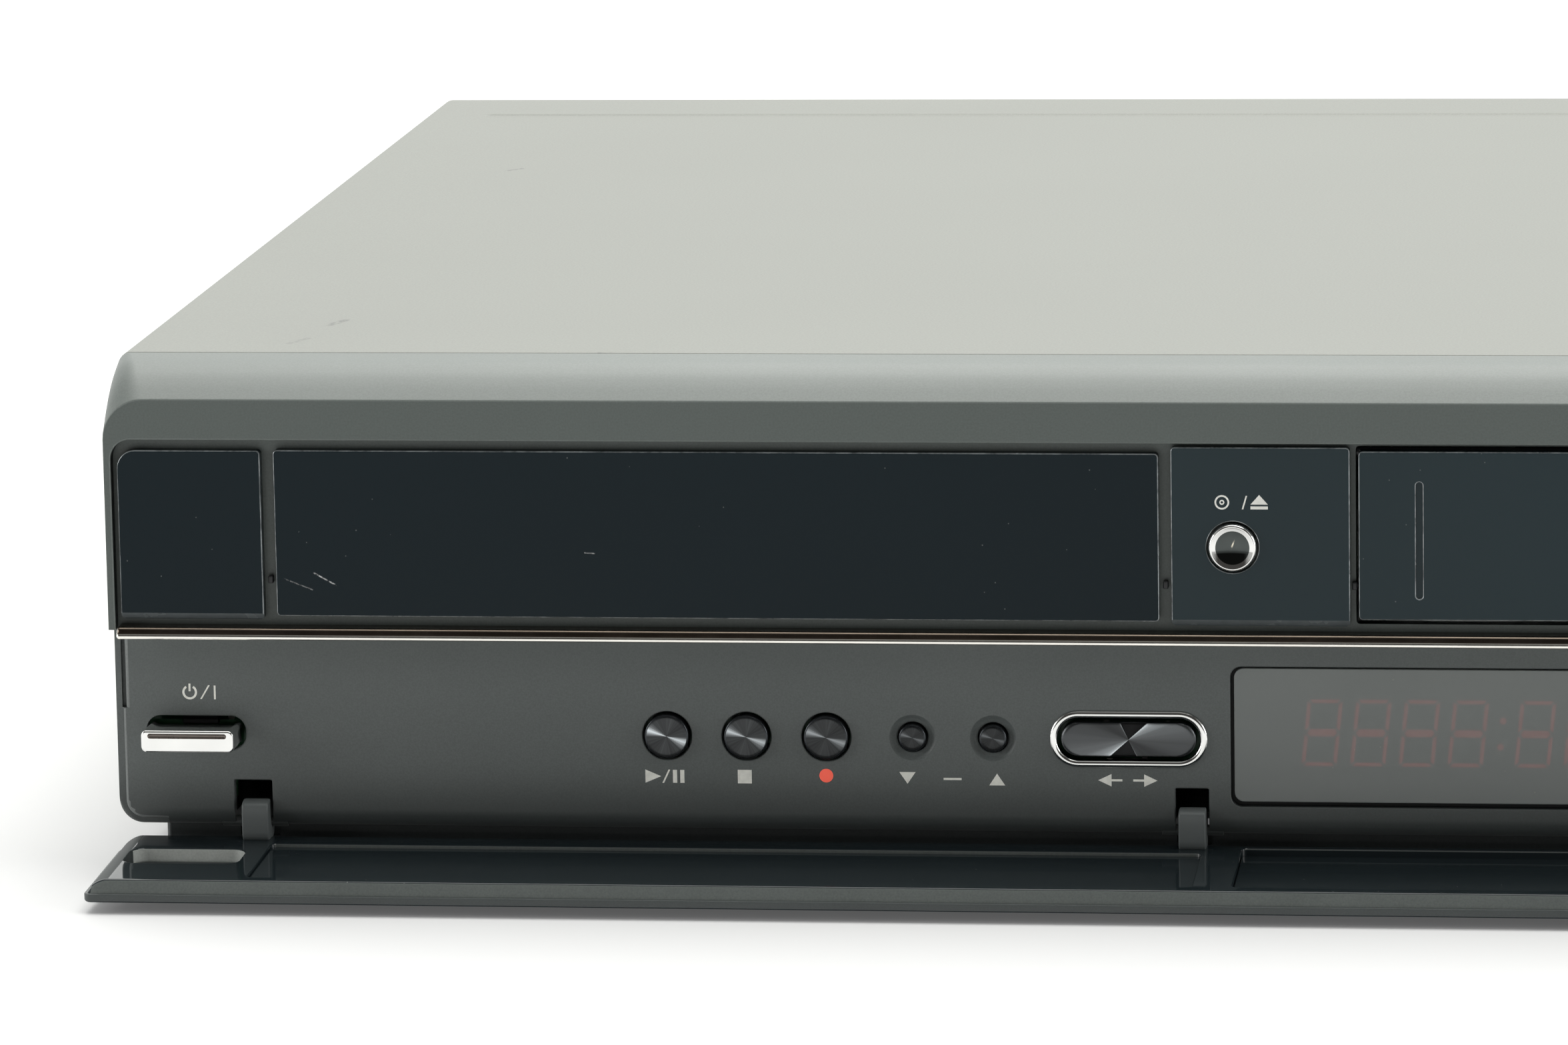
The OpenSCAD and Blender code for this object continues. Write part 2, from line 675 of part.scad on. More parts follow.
module loading_motor() {
    color(steel) place() {
        cz(disc_x + 4, 22, 11, 24, 37.9);
        cz(disc_x + 4, 22, 1.2, 37.8, 44.6);
        difference() {
            cz(disc_x + 4, 22, 3.0, 44.5, 48.6);
            difference() {
                cz(disc_x + 4, 22, 3.6, 46.0, 47.6);
                cz(disc_x + 4, 22, 2.2, 45.9, 47.7);
            }
        }
    }
}

module loading_gear() {
    color("ivory") place() difference() {
        union() {
            translate([disc_x - 39.35, 20, 51]) linear_extrude(2.6) gear2(24);
            cz(disc_x - 39.35, 20, 9.5, 45.2, 51.01);
        }
        cz(disc_x - 39.35, 20, 1.5, 44, 51.2);
        difference() {
            cz(disc_x - 39.35, 20, 10, 46, 47.6);
            cz(disc_x - 39.35, 20, 8.4, 45.9, 47.7);
        }
    }
}

// open loop of the rubber belt, a hair off both pulleys
module loading_belt() {
    color("black") place() difference() {
        hull() {
            cz(disc_x - 39.35, 20, 9.9, 46.2, 47.4);
            cz(disc_x + 4, 22, 3.7, 46.2, 47.4);
        }
        hull() {
            cz(disc_x - 39.35, 20, 8.7, 46, 48);
            cz(disc_x + 4, 22, 2.5, 46, 48);
        }
    }
}

module cam_slider() {
    color([0.85, 0.85, 0.84]) place() difference() {
        bx(disc_x - 36, disc_x + 14, 36, 44, 40.4, 44.6);
        for (x = [-20, 4]) rf(disc_x + x - 8, disc_x + x + 4, 38.5, 41.5, 1.45, 40, 45);
    }
}

/* ---------- cassette deck ---------- */

module vcr_flap() {
    color(gloss) place() difference() {
        union() {
            trim_plate(-6.6, 186.4, 45.4, 73.4, 0.6);
            bx(tape_x - 96.5, tape_x + 96.5, plate_y1 - 0.02, 4.2, 71.9, 73.5);
            cx(3.4, 72.9, 0.8, tape_x - 98.8, tape_x + 98.8);
            for (k = [-3 : 3]) bx(tape_x + k * 28 - 0.6, tape_x + k * 28 + 0.6, plate_y1 - 0.02, 3.2, 46.4, 72);
        }
        // engraved round-ended slot mark
        rp(2.6, 4.0, 48.8, 68.5, 0.69, 0, 0.75);
        // rounded top edge turns inside the frame
        bx(-10, 190, 3.9, 5, 73.2, 74);
    }
}

module deck_plate() {
    dx0 = tape_x - 99.4; dx1 = tape_x + 99.4;
    color(steel) place() {
        difference() {
            bx(dx0, dx1, 30, 246, 20, 21.2);
            cz(150, 168, 4, 19, 22);
            for (x = [50, 134]) rf(x - 2.2, x + 2.2, 140, 202, 2.1, 19, 22);
            cz(92, 190, 8, 19, 22);
        }
        for (s = [0, 1]) difference() {
            bx(s ? dx1 - 1.2 : dx0, s ? dx1 : dx0 + 1.2, 30, 160, 21.2, 76);
            // guide slots of the holder
            for (y = [50, 120]) rp_side(s ? dx1 - 2 : dx0 - 1, y, 1.75, 60 - holder_drop, 60);
        }
        for (x = [43.7, 136.1]) cz(x, 88, 2.0, 20.5, 24);
        // pinch arm post and head bracket
        cz(172, 182, 2.0, 21.1, 34);
        // cross stay over the bay
        bx(dx0, dx1, 150, 158, 74.8, 76);
    }
}

// vertical round-ended slot through a side plate
module rp_side(x, y, r, z0, z1) {
    cx(y, z0, r, x, x + 3.2);
    cx(y, z1, r, x, x + 3.2);
    bx(x, x + 3.2, y - r, y + r, z0, z1);
}

module cassette_holder() {
    hx = 94.3;
    color(steel) place() {
        difference() {
            bx(tape_x - hx - 1, tape_x + hx + 1, 33, 137, 43.6, 71.4);
            bx(tape_x - hx, tape_x + hx, 32, 138, 44.6, 44.6 + bay_h + 0.4);
            bx(tape_x - hx + 12, tape_x + hx - 12, 32, 138, 43, 45);
            for (k = [-1, 0, 1]) bx(tape_x + k * 55 - 20, tape_x + k * 55 + 20, 52, 118, 70, 72);
        }
        for (y = [50, 120]) {
            cx(y, 60, 1.6, tape_x - 99.6, tape_x - hx - 0.9);
            cx(y, 60, 1.6, tape_x + hx + 0.9, tape_x + 99.6);
        }
    }
}

module drum_tilt() { translate([92, 190, 25]) rotate([-5, 3, 0]) children(); }

module lower_drum() {
    color(steel) place() {
        drum_tilt() difference() {
            union() {
                cylinder(r = drum_d / 2, h = 16, $fn = 96);
                translate([0, 0, 15.9]) cylinder(r = 12, h = 1.2);
                translate([0, 0, 16]) cylinder(r = 2.9, h = 20);
            }
        }
        for (s = [-1, 1]) bx(92 + s * 20 - 4, 92 + s * 20 + 4, 184, 196, 21.2, 25.5);
    }
}

module upper_drum() {
    color([0.8, 0.8, 0.82]) place() drum_tilt() difference() {
        union() {
            translate([0, 0, 17.4]) cylinder(r = drum_d / 2, h = 17, $fn = 96);
            translate([0, 0, 34.3]) cylinder(r = 12, h = 4);
        }
        translate([0, 0, 17]) cylinder(r = 2.95, h = 20);
        translate([0, 0, 17]) cylinder(r = 12.5, h = 0.8);
        for (a = [0 : 90 : 270]) rotate(a) {
            translate([20, 0, 30]) cylinder(r = 2.2, h = 6);
            translate([drum_d / 2 - 1.6, -2, 17]) cube([3, 4, 2.2]);
        }
        difference() {
            translate([0, 0, 33.2]) cylinder(r = drum_d / 2 - 3, h = 3);
            translate([0, 0, 33]) cylinder(r = 14, h = 4);
        }
    }
}

module capstan() {
    color(steel) place() {
        cz(150, 168, 1.6, 12, 52);
        difference() {
            cz(150, 168, 26, 10.8, 16.6);
            cz(150, 168, 20, 14.4, 18);
        }
        cz(150, 168, 6, 14.2, 18.4);
    }
}

module pinch_arm() {
    color(steel) place() {
        difference() {
            hull() {
                cz(172, 182, 5, 25, 27.2);
                cz(153.8, 181.3, 5, 25, 27.2);
            }
            cz(172, 182, 2.05, 24, 28);
        }
        difference() {
            cz(172, 182, 4.2, 27.1, 33);
            cz(172, 182, 2.05, 24, 34);
        }
        cz(153.8, 181.3, 1.8, 27, 47);
        cz(153.8, 181.3, 6.2, 28.4, 45.4);
    }
}

module reel_table(x) {
    difference() {
        union() {
            cz(x, 88, 19, 22.2, 25.2);
            cz(x, 88, 7.5, 25.1, 28);
            cz(x, 88, 4.6, 27.9, 37);
            for (a = [0 : 60 : 300]) translate([x, 88, 28]) rotate(a)
                translate([0, -0.7, 0]) cube([6.2, 1.4, 7.5]);
        }
        cz(x, 88, 2.05, 22, 30);
    }
}

module supply_reel() { color([0.15, 0.15, 0.16]) place() reel_table(43.7); }
module takeup_reel() { color([0.15, 0.15, 0.16]) place() reel_table(136.1); }

module tape_guide(x) {
    bx(x - 6, x + 6, 142, 153, 21.5, 24.5);
    cz(x, 147.5, 1.9, 18.4, 21.6);
    cz(x, 147.5, 4.4, 17.2, 18.5);
    cz(x, 147.5, 1.4, 24.4, 47);
    cz(x, 147.5, 3.2, 26, 44);
    cz(x, 147.5, 4.2, 44, 45.4);
}

module left_guide() { color("silver") place() tape_guide(50); }
module right_guide() { color("silver") place() tape_guide(134); }

module tape_heads() {
    color("silver") place() {
        bx(24, 36, 150, 158, 21.2, 42);
        cz(30, 164, 2.4, 21.2, 46);
        bx(160, 171, 148, 156, 21.2, 42);
        cz(156, 150, 2.0, 21.2, 46);
    }
}

module deck_motor() {
    color([0.2, 0.2, 0.21]) place() {
        // mode motor in its housing, with the worm on its shaft
        bx(12, 40, 205, 225, 21.2, 41);
        cx(215, 31, 2.6, 39.9, 56);
        cx(215, 31, 3.6, 44, 54);
        // mode switch beside it
        cz(60, 234, 9, 21.2, 30);
    }
}

/* ---------- electronics ---------- */

module chip(x, y, w, d, z, h) { bx(x, x + w, y, y + d, z, z + h); }

module main_board() {
    z = 19.6;
    color(board) place() {
        bx(-205, -22, 216, 336, 18, z);
        chip(-150, 250, 28, 28, z, 2.2);
        chip(-100, 262, 20, 14, z, 1.8);
        chip(-96, 292, 14, 20, z, 1.8);
        chip(-188, 236, 24, 30, z, 12);
        chip(-60, 232, 30, 8, z, 9);
        chip(-60, 300, 22, 22, z, 3);
        for (k = [0 : 5]) cz(-195 + k * 12, 300, 3.1, z, z + 9);
        for (k = [0 : 4]) cz(-40, 250 + k * 9, 2.6, z, z + 7);
        for (k = [0 : 7]) chip(-130 + k * 7, 225, 4, 2.4, z, 1.5);
    }
}

module power_board() {
    z = 15.6;
    color([0.72, 0.62, 0.36]) place() {
        bx(-205, -30, 34, 192, 14, z);
        // transformer: core and winding
        bx(-150, -114, 120, 150, z, 34);
        bx(-145, -119, 113, 157, z, 30);
        // smoothing capacitors
        cz(-182, 140, 9, z, 36);
        cz(-182, 164, 6, z, 32);
        for (k = [0 : 3]) cz(-62 - k * 14, 180, 5, z, 32);
        // heatsink with fins
        bx(-96, -50, 110, 112.5, z, 36);
        for (k = [0 : 6]) bx(-96 + k * 7.2, -94.8 + k * 7.2, 112.4, 120, z, 36);
        // choke, fuse and bridge
        bx(-195, -171, 60, 78, z, 30);
        cy(-150, z + 3, 2.6, 60, 80);
        bx(-120, -104, 64, 68, z, 26);
        for (k = [0 : 3]) cz(-90 + k * 14, 70, 3.6, z, 26);
    }
}

module display_board() {
    color(board) place() {
        difference() {
            bx(-211, 74, 8.5, 10.1, 12.4, 37.4);
            for (s = slots) bx(s[0] - 0.5, s[1] + 0.5, 8, 11, 12, 17);
        }
        for (x = [-201.3, -121.7, -108.4, -95.05, -80.7, -67.3, -44.8])
            bx(x - 3, x + 3, 6 + press, 8.5, 21.5, 27.5);
        bx(96, 168, 8.5, 10.1, 12.4, 37.4);
        bx(167.9, 205.7, 8.5, 10.1, 20, 37.4);
        // carriers of the two eject switches
        for (x = [-27.2, 200.7]) {
            bx(x - 5, x + 5, 8.5, 10.1, 37.3, 64);
            bx(x - 3, x + 3, 6 + press, 8.5, 54.4, 60.4);
        }
    }
}

module display_module() {
    color([0.18, 0.2, 0.2]) place() {
        bx(-25, 67, 5.4, 8.5, 16.6, 34);
    }
}

module fan_frame() {
    color("black") place() difference() {
        rp(110, 150, 28, 68, 2, body_d - 11.8, body_d - 1.8);
        cy(130, 48, 18.6, body_d - 10.8, body_d - 1);
        for (a = [0 : 90 : 270]) translate([130, body_d - 12.3, 48]) rotate([0, a + 45, 0])
            translate([6.5, 0, -5.6]) cube([11, 2, 11.2]);
        for (x = [114, 146], z = [32, 64]) cy(x, z, 1.7, body_d - 12, body_d - 1);
    }
}

module fan_rotor() {
    color([0.08, 0.08, 0.08]) place() {
        cy(130, 48, 8.5, body_d - 10.4, body_d - 2.6);
        for (k = [0 : 6]) translate([130, body_d - 6.5, 48]) rotate([0, k * 360 / 7, 0])
            rotate([28, 0, 0]) translate([7.5, -0.6, -3.0]) cube([10.2, 1.2, 6]);
    }
}

module phono(x, z, y0, out) {
    difference() {
        cy(x, z, 4.15, y0, y0 + out);
        cy(x, z, 1.7, y0 - 1, y0 + out + 1);
    }
}

module front_sockets() {
    {
        for (x = [112, 126, 140]) {
            difference() {
                union() { cy(x, 24.5, 5.0, 3.4, 8.5); cy(x, 24.5, 4.1, 2.7, 3.5); }
                cy(x, 24.5, 1.7, 0, 8);
            }
        }
        difference() {
            cy(156, 24.5, 5.4, 3.4, 8.5);
            cy(156, 24.5, 4.4, 3, 7);
        }
        cy(156, 24.5, 1.2, 3.6, 8);
    }
}

module rear_sockets() {
    {
        for (c = [0 : 3], r = [0 : 2]) difference() {
            union() {
                cy(-150 + c * 16, 28 + r * 18, 4.15, body_d - 1.8, rear_y);
                cy(-150 + c * 16, 28 + r * 18, 4.9, body_d - 1.9, body_d - 0.2);
            }
            cy(-150 + c * 16, 28 + r * 18, 1.7, body_d - 4, rear_y + 1);
        }
        bx(-158, -94, 332, body_d - 1.8, 19.6, 72);
        // aerial in and out
        for (x = [-190, -172]) difference() {
            union() {
                cy(x, 62, 5.2, body_d - 1.9, body_d);
                cy(x, 62, 4.7, body_d - 1.9, rear_y);
            }
            cy(x, 62, 1.9, body_d + 0.5, rear_y + 1);
        }
        bx(-199, -163, 326, body_d - 1.8, 46, 72);
        bx(-199, -163, 326, 336, 19.6, 46.01);
        // data sockets
        difference() {
            rp(-83.8, -62.2, 22.2, 29.8, 1, 336, body_d - 0.2);
            rp(-82.4, -63.6, 24.2, 27.9, 0.6, 338, body_d + 1);
        }
        difference() {
            rp(-51.8, -37.2, 22.2, 27.3, 1, 336, body_d - 0.2);
            rp(-50.8, -38.2, 23.2, 26.3, 0.4, 338, body_d + 1);
        }
    }
}

module av_sockets() {
    color([0.12, 0.12, 0.13]) place() {
        front_sockets();
        rear_sockets();
    }
}

module mains_inlet() {
    color("black") place() {
        difference() {
            rp(170.7, 195.3, 24.7, 41.3, 1.8, 326, body_d + 0.4);
            rp(175, 191, 28.8, 37.2, 4.15, 330, body_d + 1);
        }
        for (x = [179, 187]) cy(x, 33, 1.2, 329, body_d - 3);
    }
}

top_cover();
front_bezel();
rear_panel();
chassis_pan();
feet();
casing_screws();
chrome_strip();
left_trim_plate();
eject_trim_plate();
right_trim_plate();
display_window();
door_frame();
door_panel();
door_hinge_pins();
tray_cover();
disc_tray();
drive_chassis();
clamp_bridge();
clamp_puck();
pickup_base();
sled_rods();
pickup_sled();
sled_gear();
spindle_motor();
turntable();
loading_motor();
loading_gear();
loading_belt();
cam_slider();
power_button();
dvd_eject_button();
vcr_eject_button();
play_button();
stop_button();
record_button();
prog_down_button();
prog_up_button();
dubbing_button();
dubbing_ring();
vcr_flap();
deck_plate();
cassette_holder();
lower_drum();
upper_drum();
capstan();
pinch_arm();
supply_reel();
takeup_reel();
left_guide();
right_guide();
tape_heads();
deck_motor();
main_board();
power_board();
display_board();
display_module();
fan_frame();
fan_rotor();
av_sockets();
mains_inlet();
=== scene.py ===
"""Looks of the combined disc and cassette player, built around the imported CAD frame.

Helpers work in millimetres in the CAD source's own front-face frame: x to the
right, y = 0 on the upper front face and growing to the back, z = 0 the table.
P() turns such a point into the row frame in metres.
"""
import json
import math

import bmesh
import bpy
from mathutils import Matrix, Vector, noise

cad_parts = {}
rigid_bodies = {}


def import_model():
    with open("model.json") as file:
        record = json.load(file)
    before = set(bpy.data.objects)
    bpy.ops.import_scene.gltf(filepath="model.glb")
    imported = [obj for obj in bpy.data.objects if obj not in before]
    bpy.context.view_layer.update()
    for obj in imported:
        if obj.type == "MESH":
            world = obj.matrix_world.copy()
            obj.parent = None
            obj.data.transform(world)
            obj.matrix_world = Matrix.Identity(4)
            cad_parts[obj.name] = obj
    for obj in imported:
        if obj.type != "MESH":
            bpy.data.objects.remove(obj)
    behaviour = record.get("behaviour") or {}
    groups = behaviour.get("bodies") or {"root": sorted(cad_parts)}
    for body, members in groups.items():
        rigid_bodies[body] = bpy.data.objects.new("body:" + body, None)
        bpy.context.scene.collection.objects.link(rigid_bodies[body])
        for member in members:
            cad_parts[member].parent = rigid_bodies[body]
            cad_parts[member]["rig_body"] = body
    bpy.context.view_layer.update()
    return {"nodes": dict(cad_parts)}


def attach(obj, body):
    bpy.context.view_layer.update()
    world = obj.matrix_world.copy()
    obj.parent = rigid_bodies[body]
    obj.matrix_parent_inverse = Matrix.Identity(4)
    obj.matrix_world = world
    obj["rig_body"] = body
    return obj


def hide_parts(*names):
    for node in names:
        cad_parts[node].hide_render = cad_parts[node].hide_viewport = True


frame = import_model()
NODE = frame["nodes"]
SCN = bpy.context.scene
SHIFT = -163.65
rad = math.radians


def P(x, y, z):
    return Vector((x * 1e-3, (y + SHIFT) * 1e-3, z * 1e-3))


# --------------------------------------------------------------------------
# materials
# --------------------------------------------------------------------------
def lin(c):
    """sRGB 0..255 triple to linear."""
    out = []
    for v in c:
        v /= 255
        out.append(v / 12.92 if v <= 0.04045 else ((v + 0.055) / 1.055) ** 2.4)
    return (*out, 1.0)


class Mat:
    """A principled material with procedural layers added one by one."""

    def __init__(self, name, rgb, rough=0.5, metal=0.0, spec=None, ior=None,
                 coat=None, coat_rough=0.05, aniso=None, aniso_rot=0.0,
                 transmission=None, alpha=None):
        self.m = bpy.data.materials.new(name)
        self.m.use_nodes = True
        self.nt = self.m.node_tree
        self.b = next(n for n in self.nt.nodes if n.type == "BSDF_PRINCIPLED")
        self.rgb = lin(rgb)
        self.rough = rough
        self.i("Base Color").default_value = self.rgb
        self.i("Roughness").default_value = rough
        self.i("Metallic").default_value = metal
        if spec is not None:
            self.i("Specular IOR Level").default_value = spec
        if ior is not None:
            self.i("IOR").default_value = ior
        if coat is not None:
            self.i("Coat Weight").default_value = coat
            self.i("Coat Roughness").default_value = coat_rough
        if aniso is not None:
            self.i("Anisotropic").default_value = aniso
            self.i("Anisotropic Rotation").default_value = aniso_rot
        if transmission is not None:
            self.i("Transmission Weight").default_value = transmission
        if alpha is not None:
            self.i("Alpha").default_value = alpha
        self.m.diffuse_color = self.rgb
        self.col = None
        self.nrm = None
        self.obj = self.n("ShaderNodeTexCoord").outputs["Object"]

    def i(self, name):
        return self.b.inputs[name]

    def n(self, kind, **kw):
        node = self.nt.nodes.new(kind)
        for k, v in kw.items():
            setattr(node, k, v)
        return node

    def l(self, a, b):
        self.nt.links.new(a, b)

    def math(self, op, a, b=None, clamp=False):
        n = self.n("ShaderNodeMath", operation=op, use_clamp=clamp)
        for k, v in enumerate((a, b)):
            if v is None:
                continue
            if isinstance(v, (int, float)):
                n.inputs[k].default_value = v
            else:
                self.l(v, n.inputs[k])
        return n.outputs[0]

    def remap(self, src, a, b, c, d, smooth=False):
        n = self.n("ShaderNodeMapRange")
        if smooth:
            n.interpolation_type = "SMOOTHSTEP"
        self.l(src, n.inputs["Value"])
        for k, v in zip(("From Min", "From Max", "To Min", "To Max"), (a, b, c, d)):
            n.inputs[k].default_value = v
        return n.outputs["Result"]

    def noise(self, scale, detail=2.0, rough=0.5, stretch=None, turn=None, shift=None):
        n = self.n("ShaderNodeTexNoise")
        n.inputs["Scale"].default_value = scale
        n.inputs["Detail"].default_value = detail
        n.inputs["Roughness"].default_value = rough
        src = self.obj
        if stretch or turn or shift:
            mp = self.n("ShaderNodeMapping")
            self.l(src, mp.inputs["Vector"])
            if stretch:
                mp.inputs["Scale"].default_value = stretch
            if turn:
                mp.inputs["Rotation"].default_value = turn
            if shift:
                mp.inputs["Location"].default_value = shift
            src = mp.outputs["Vector"]
        self.l(src, n.inputs["Vector"])
        return n.outputs["Fac"] if "Fac" in n.outputs else n.outputs[0]

    def voronoi(self, scale, feature="F1"):
        n = self.n("ShaderNodeTexVoronoi", feature=feature)
        n.inputs["Scale"].default_value = scale
        self.l(self.obj, n.inputs["Vector"])
        return n.outputs["Distance"]

    def colour_src(self):
        if self.col is None:
            rgb = self.n("ShaderNodeRGB")
            rgb.outputs[0].default_value = self.rgb
            self.col = rgb.outputs[0]
        return self.col

    def tint(self, fac, rgb):
        """Mix towards an sRGB colour by fac."""
        mx = self.n("ShaderNodeMix", data_type="RGBA")
        if isinstance(fac, (int, float)):
            mx.inputs[0].default_value = fac
        else:
            self.l(fac, mx.inputs[0])
        self.l(self.colour_src(), mx.inputs[6])
        mx.inputs[7].default_value = lin(rgb)
        self.col = mx.outputs[2]
        self.l(self.col, self.i("Base Color"))
        return self

    def shade(self, axis, a, b, rgb, amount):
        """Painted shade: blend towards rgb from place a to place b (mm) along an axis."""
        sep = self.n("ShaderNodeSeparateXYZ")
        self.l(self.obj, sep.inputs[0])
        self.tint(self.remap(sep.outputs[axis], a / 1000, b / 1000, 0.0, amount, True), rgb)
        return self

    def mottle(self, amount=0.08, scale=30, detail=4.0):
        """Slow uneven shading of the base colour."""
        f = self.remap(self.noise(scale, detail, 0.6), 0.3, 0.7, 1 - amount, 1 + amount)
        vm = self.n("ShaderNodeVectorMath", operation="SCALE")
        self.l(self.colour_src(), vm.inputs[0])
        self.l(f, vm.inputs["Scale"])
        self.col = vm.outputs[0]
        self.l(self.col, self.i("Base Color"))
        return self

    def rough_noise(self, amount=0.06, scale=60, detail=3.0, stretch=None):
        f = self.remap(self.noise(scale, detail, 0.55, stretch), 0.3, 0.7,
                       max(0.0, self.rough - amount), self.rough + amount)
        self.l(f, self.i("Roughness"))
        return self

    def bump(self, height, strength=0.3, dist=0.02):
        n = self.n("ShaderNodeBump")
        n.inputs["Strength"].default_value = strength
        n.inputs["Distance"].default_value = dist * 1e-3
        self.l(height, n.inputs["Height"])
        if self.nrm is not None:
            self.l(self.nrm, n.inputs["Normal"])
        self.nrm = n.outputs["Normal"]
        self.l(self.nrm, self.i("Normal"))
        return self

    def grain(self, scale=3000, strength=0.3, dist=0.02, detail=1.5):
        return self.bump(self.noise(scale, detail, 0.6), strength, dist)

    def specks(self, scale, cut, rgb, amount=0.8):
        """Sparse dust-like dots."""
        v = self.voronoi(scale)
        dots = self.math("LESS_THAN", v, cut)
        keep = self.math("GREATER_THAN", self.noise(scale * 0.11, 1.0), 0.58)
        f = self.math("MULTIPLY", self.math("MULTIPLY", dots, keep), amount)
        return self.tint(f, rgb)

    def stroke(self, a, b, width, rgb, amount=0.8, rough_break=900):
        """A broken line from a to b, in the front-face frame, mm; used for scratches and, on the eject dish, for a
        painted reflection.
        """
        pa, pb = P(*a), P(*b)
        d = pb - pa
        sub = self.n("ShaderNodeVectorMath", operation="SUBTRACT")
        self.l(self.obj, sub.inputs[0])
        sub.inputs[1].default_value = pa
        dot = self.n("ShaderNodeVectorMath", operation="DOT_PRODUCT")
        self.l(sub.outputs[0], dot.inputs[0])
        dot.inputs[1].default_value = d / d.length_squared
        t = self.math("ADD", dot.outputs["Value"], 0.0, clamp=True)
        sc = self.n("ShaderNodeVectorMath", operation="SCALE")
        sc.inputs[0].default_value = d
        self.l(t, sc.inputs["Scale"])
        off = self.n("ShaderNodeVectorMath", operation="SUBTRACT")
        self.l(sub.outputs[0], off.inputs[0])
        self.l(sc.outputs[0], off.inputs[1])
        ln = self.n("ShaderNodeVectorMath", operation="LENGTH")
        self.l(off.outputs[0], ln.inputs[0])
        near = self.remap(ln.outputs["Value"], width * 0.4e-3, width * 1e-3, 1, 0)
        broken = self.remap(self.noise(rough_break, 3.0, 0.7), 0.42, 0.56, 0, 1)
        f = self.math("MULTIPLY", self.math("MULTIPLY", near, broken), amount)
        return self.tint(f, rgb)

    def radial_tangent(self, axis="Y"):
        t = self.n("ShaderNodeTangent", direction_type="RADIAL", axis=axis)
        self.l(t.outputs[0], self.i("Tangent"))
        return self

    def paint_angle_highlight(self, cx, cz, stops, streaks=0.25):
        """Painted highlight: colour by angle round (cx, cz), same on opposite sides, from (degrees, sRGB grey) stops,
        standing in for the fan-shaped reflections of turned metal.
        """
        c = P(cx, 0, cz)
        sub = self.n("ShaderNodeVectorMath", operation="SUBTRACT")
        self.l(self.obj, sub.inputs[0])
        sub.inputs[1].default_value = (c.x, 0, c.z)
        sep = self.n("ShaderNodeSeparateXYZ")
        self.l(sub.outputs[0], sep.inputs[0])
        a = self.math("ARCTAN2", sep.outputs["Z"], sep.outputs["X"])
        t = self.math("FRACT", self.math("ADD", self.math("DIVIDE", a, math.pi), 2.0))
        # painted highlight: the ramp gives the grey of the turned face's reflection at each angle
        ramp = self.n("ShaderNodeValToRGB")
        self.l(t, ramp.inputs["Fac"])
        el = ramp.color_ramp.elements
        while len(el) < len(stops):
            el.new(0.5)
        for e, (deg, g) in zip(el, stops):
            e.position = deg / 180
            e.color = lin((g * 0.97, g, g * 1.02)) if not isinstance(g, tuple) else lin(g)
        # fine spokes of the turning marks
        unit = self.n("ShaderNodeVectorMath", operation="MULTIPLY")
        self.l(sub.outputs[0], unit.inputs[0])
        unit.inputs[1].default_value = (1, 0, 1)
        nrm = self.n("ShaderNodeVectorMath", operation="NORMALIZE")
        self.l(unit.outputs[0], nrm.inputs[0])
        ns = self.n("ShaderNodeTexNoise")
        ns.inputs["Scale"].default_value = 9
        ns.inputs["Detail"].default_value = 4
        self.l(nrm.outputs[0], ns.inputs["Vector"])
        f = self.remap(ns.outputs[0], 0.3, 0.7, 1 - streaks, 1 + streaks)
        vm = self.n("ShaderNodeVectorMath", operation="SCALE")
        self.l(ramp.outputs["Color"], vm.inputs[0])
        self.l(f, vm.inputs["Scale"])
        self.col = vm.outputs[0]
        self.l(self.col, self.i("Base Color"))
        # concentric tool marks
        ln = self.n("ShaderNodeVectorMath", operation="LENGTH")
        self.l(unit.outputs[0], ln.inputs[0])
        w = self.math("SINE", self.math("MULTIPLY", ln.outputs["Value"], 2 * math.pi / 0.00016))
        return self.bump(w, 0.25, 0.006)

    def glow(self, rgb, strength):
        self.i("Emission Color").default_value = lin(rgb)
        self.i("Emission Strength").default_value = strength
        return self


# satin painted sheet metal of the cover: dark graphite with a fine flake
cover_mat = Mat("cover_paint", (118, 120, 114), rough=0.44, metal=0.0, spec=0.5)
cover_mat.mottle(0.02, 7, 2).mottle(0.10, 2600, 1.0).rough_noise(0.008, 9, 2)
cover_mat.grain(2300, 0.20, 0.010)
cover_mat.stroke((-187.5, 24.5, 87), (-185.5, 30, 87), 0.9, (70, 72, 70), 0.5, 700)
cover_mat.stroke((-184.6, 44, 87), (-182.5, 50, 87), 1.1, (58, 60, 58), 0.7, 700)
cover_mat.stroke((-184.2, 238, 87), (-182.0, 241, 87), 0.9, (60, 62, 60), 0.7, 600)
cover_mat.stroke((-133.6, 15.3, 87), (-131.2, 15.6, 87), 0.35, (50, 52, 50), 0.8, 500)

front_mat = Mat("front_plastic", (105, 111, 108), rough=0.42, metal=0.0, spec=0.5)
front_mat.mottle(0.03, 12, 3).mottle(0.08, 3000, 1.0).rough_noise(0.012, 18, 3)
front_mat.grain(2800, 0.18, 0.008)

fascia_mat = Mat("fascia_plastic", (88, 93, 92), rough=0.46, spec=0.5)
fascia_mat.mottle(0.05, 14, 3).mottle(0.10, 3600, 1.0).rough_noise(0.04, 20, 3)
fascia_mat.grain(3400, 0.25, 0.010)
# painted shade: darker towards the bottom where the fascia turns under, and towards the top under the chrome strip
fascia_mat.shade("Z", 20, 9.5, (40, 44, 44), 0.6)
fascia_mat.shade("Z", 31, 40, (60, 66, 66), 0.3)

door_mat = Mat("door_plastic", (58, 62, 62), rough=0.38, spec=0.45)
door_mat.mottle(0.06, 16, 3).mottle(0.10, 3200, 1.0).rough_noise(0.05, 24, 3)
door_mat.grain(3000, 0.16, 0.008).specks(520, 0.05, (150, 152, 150), 0.5)

arm_mat = Mat("arm_plastic", (96, 101, 101), rough=0.42, spec=0.5)
arm_mat.mottle(0.05, 30, 3).grain(3000, 0.2, 0.01)
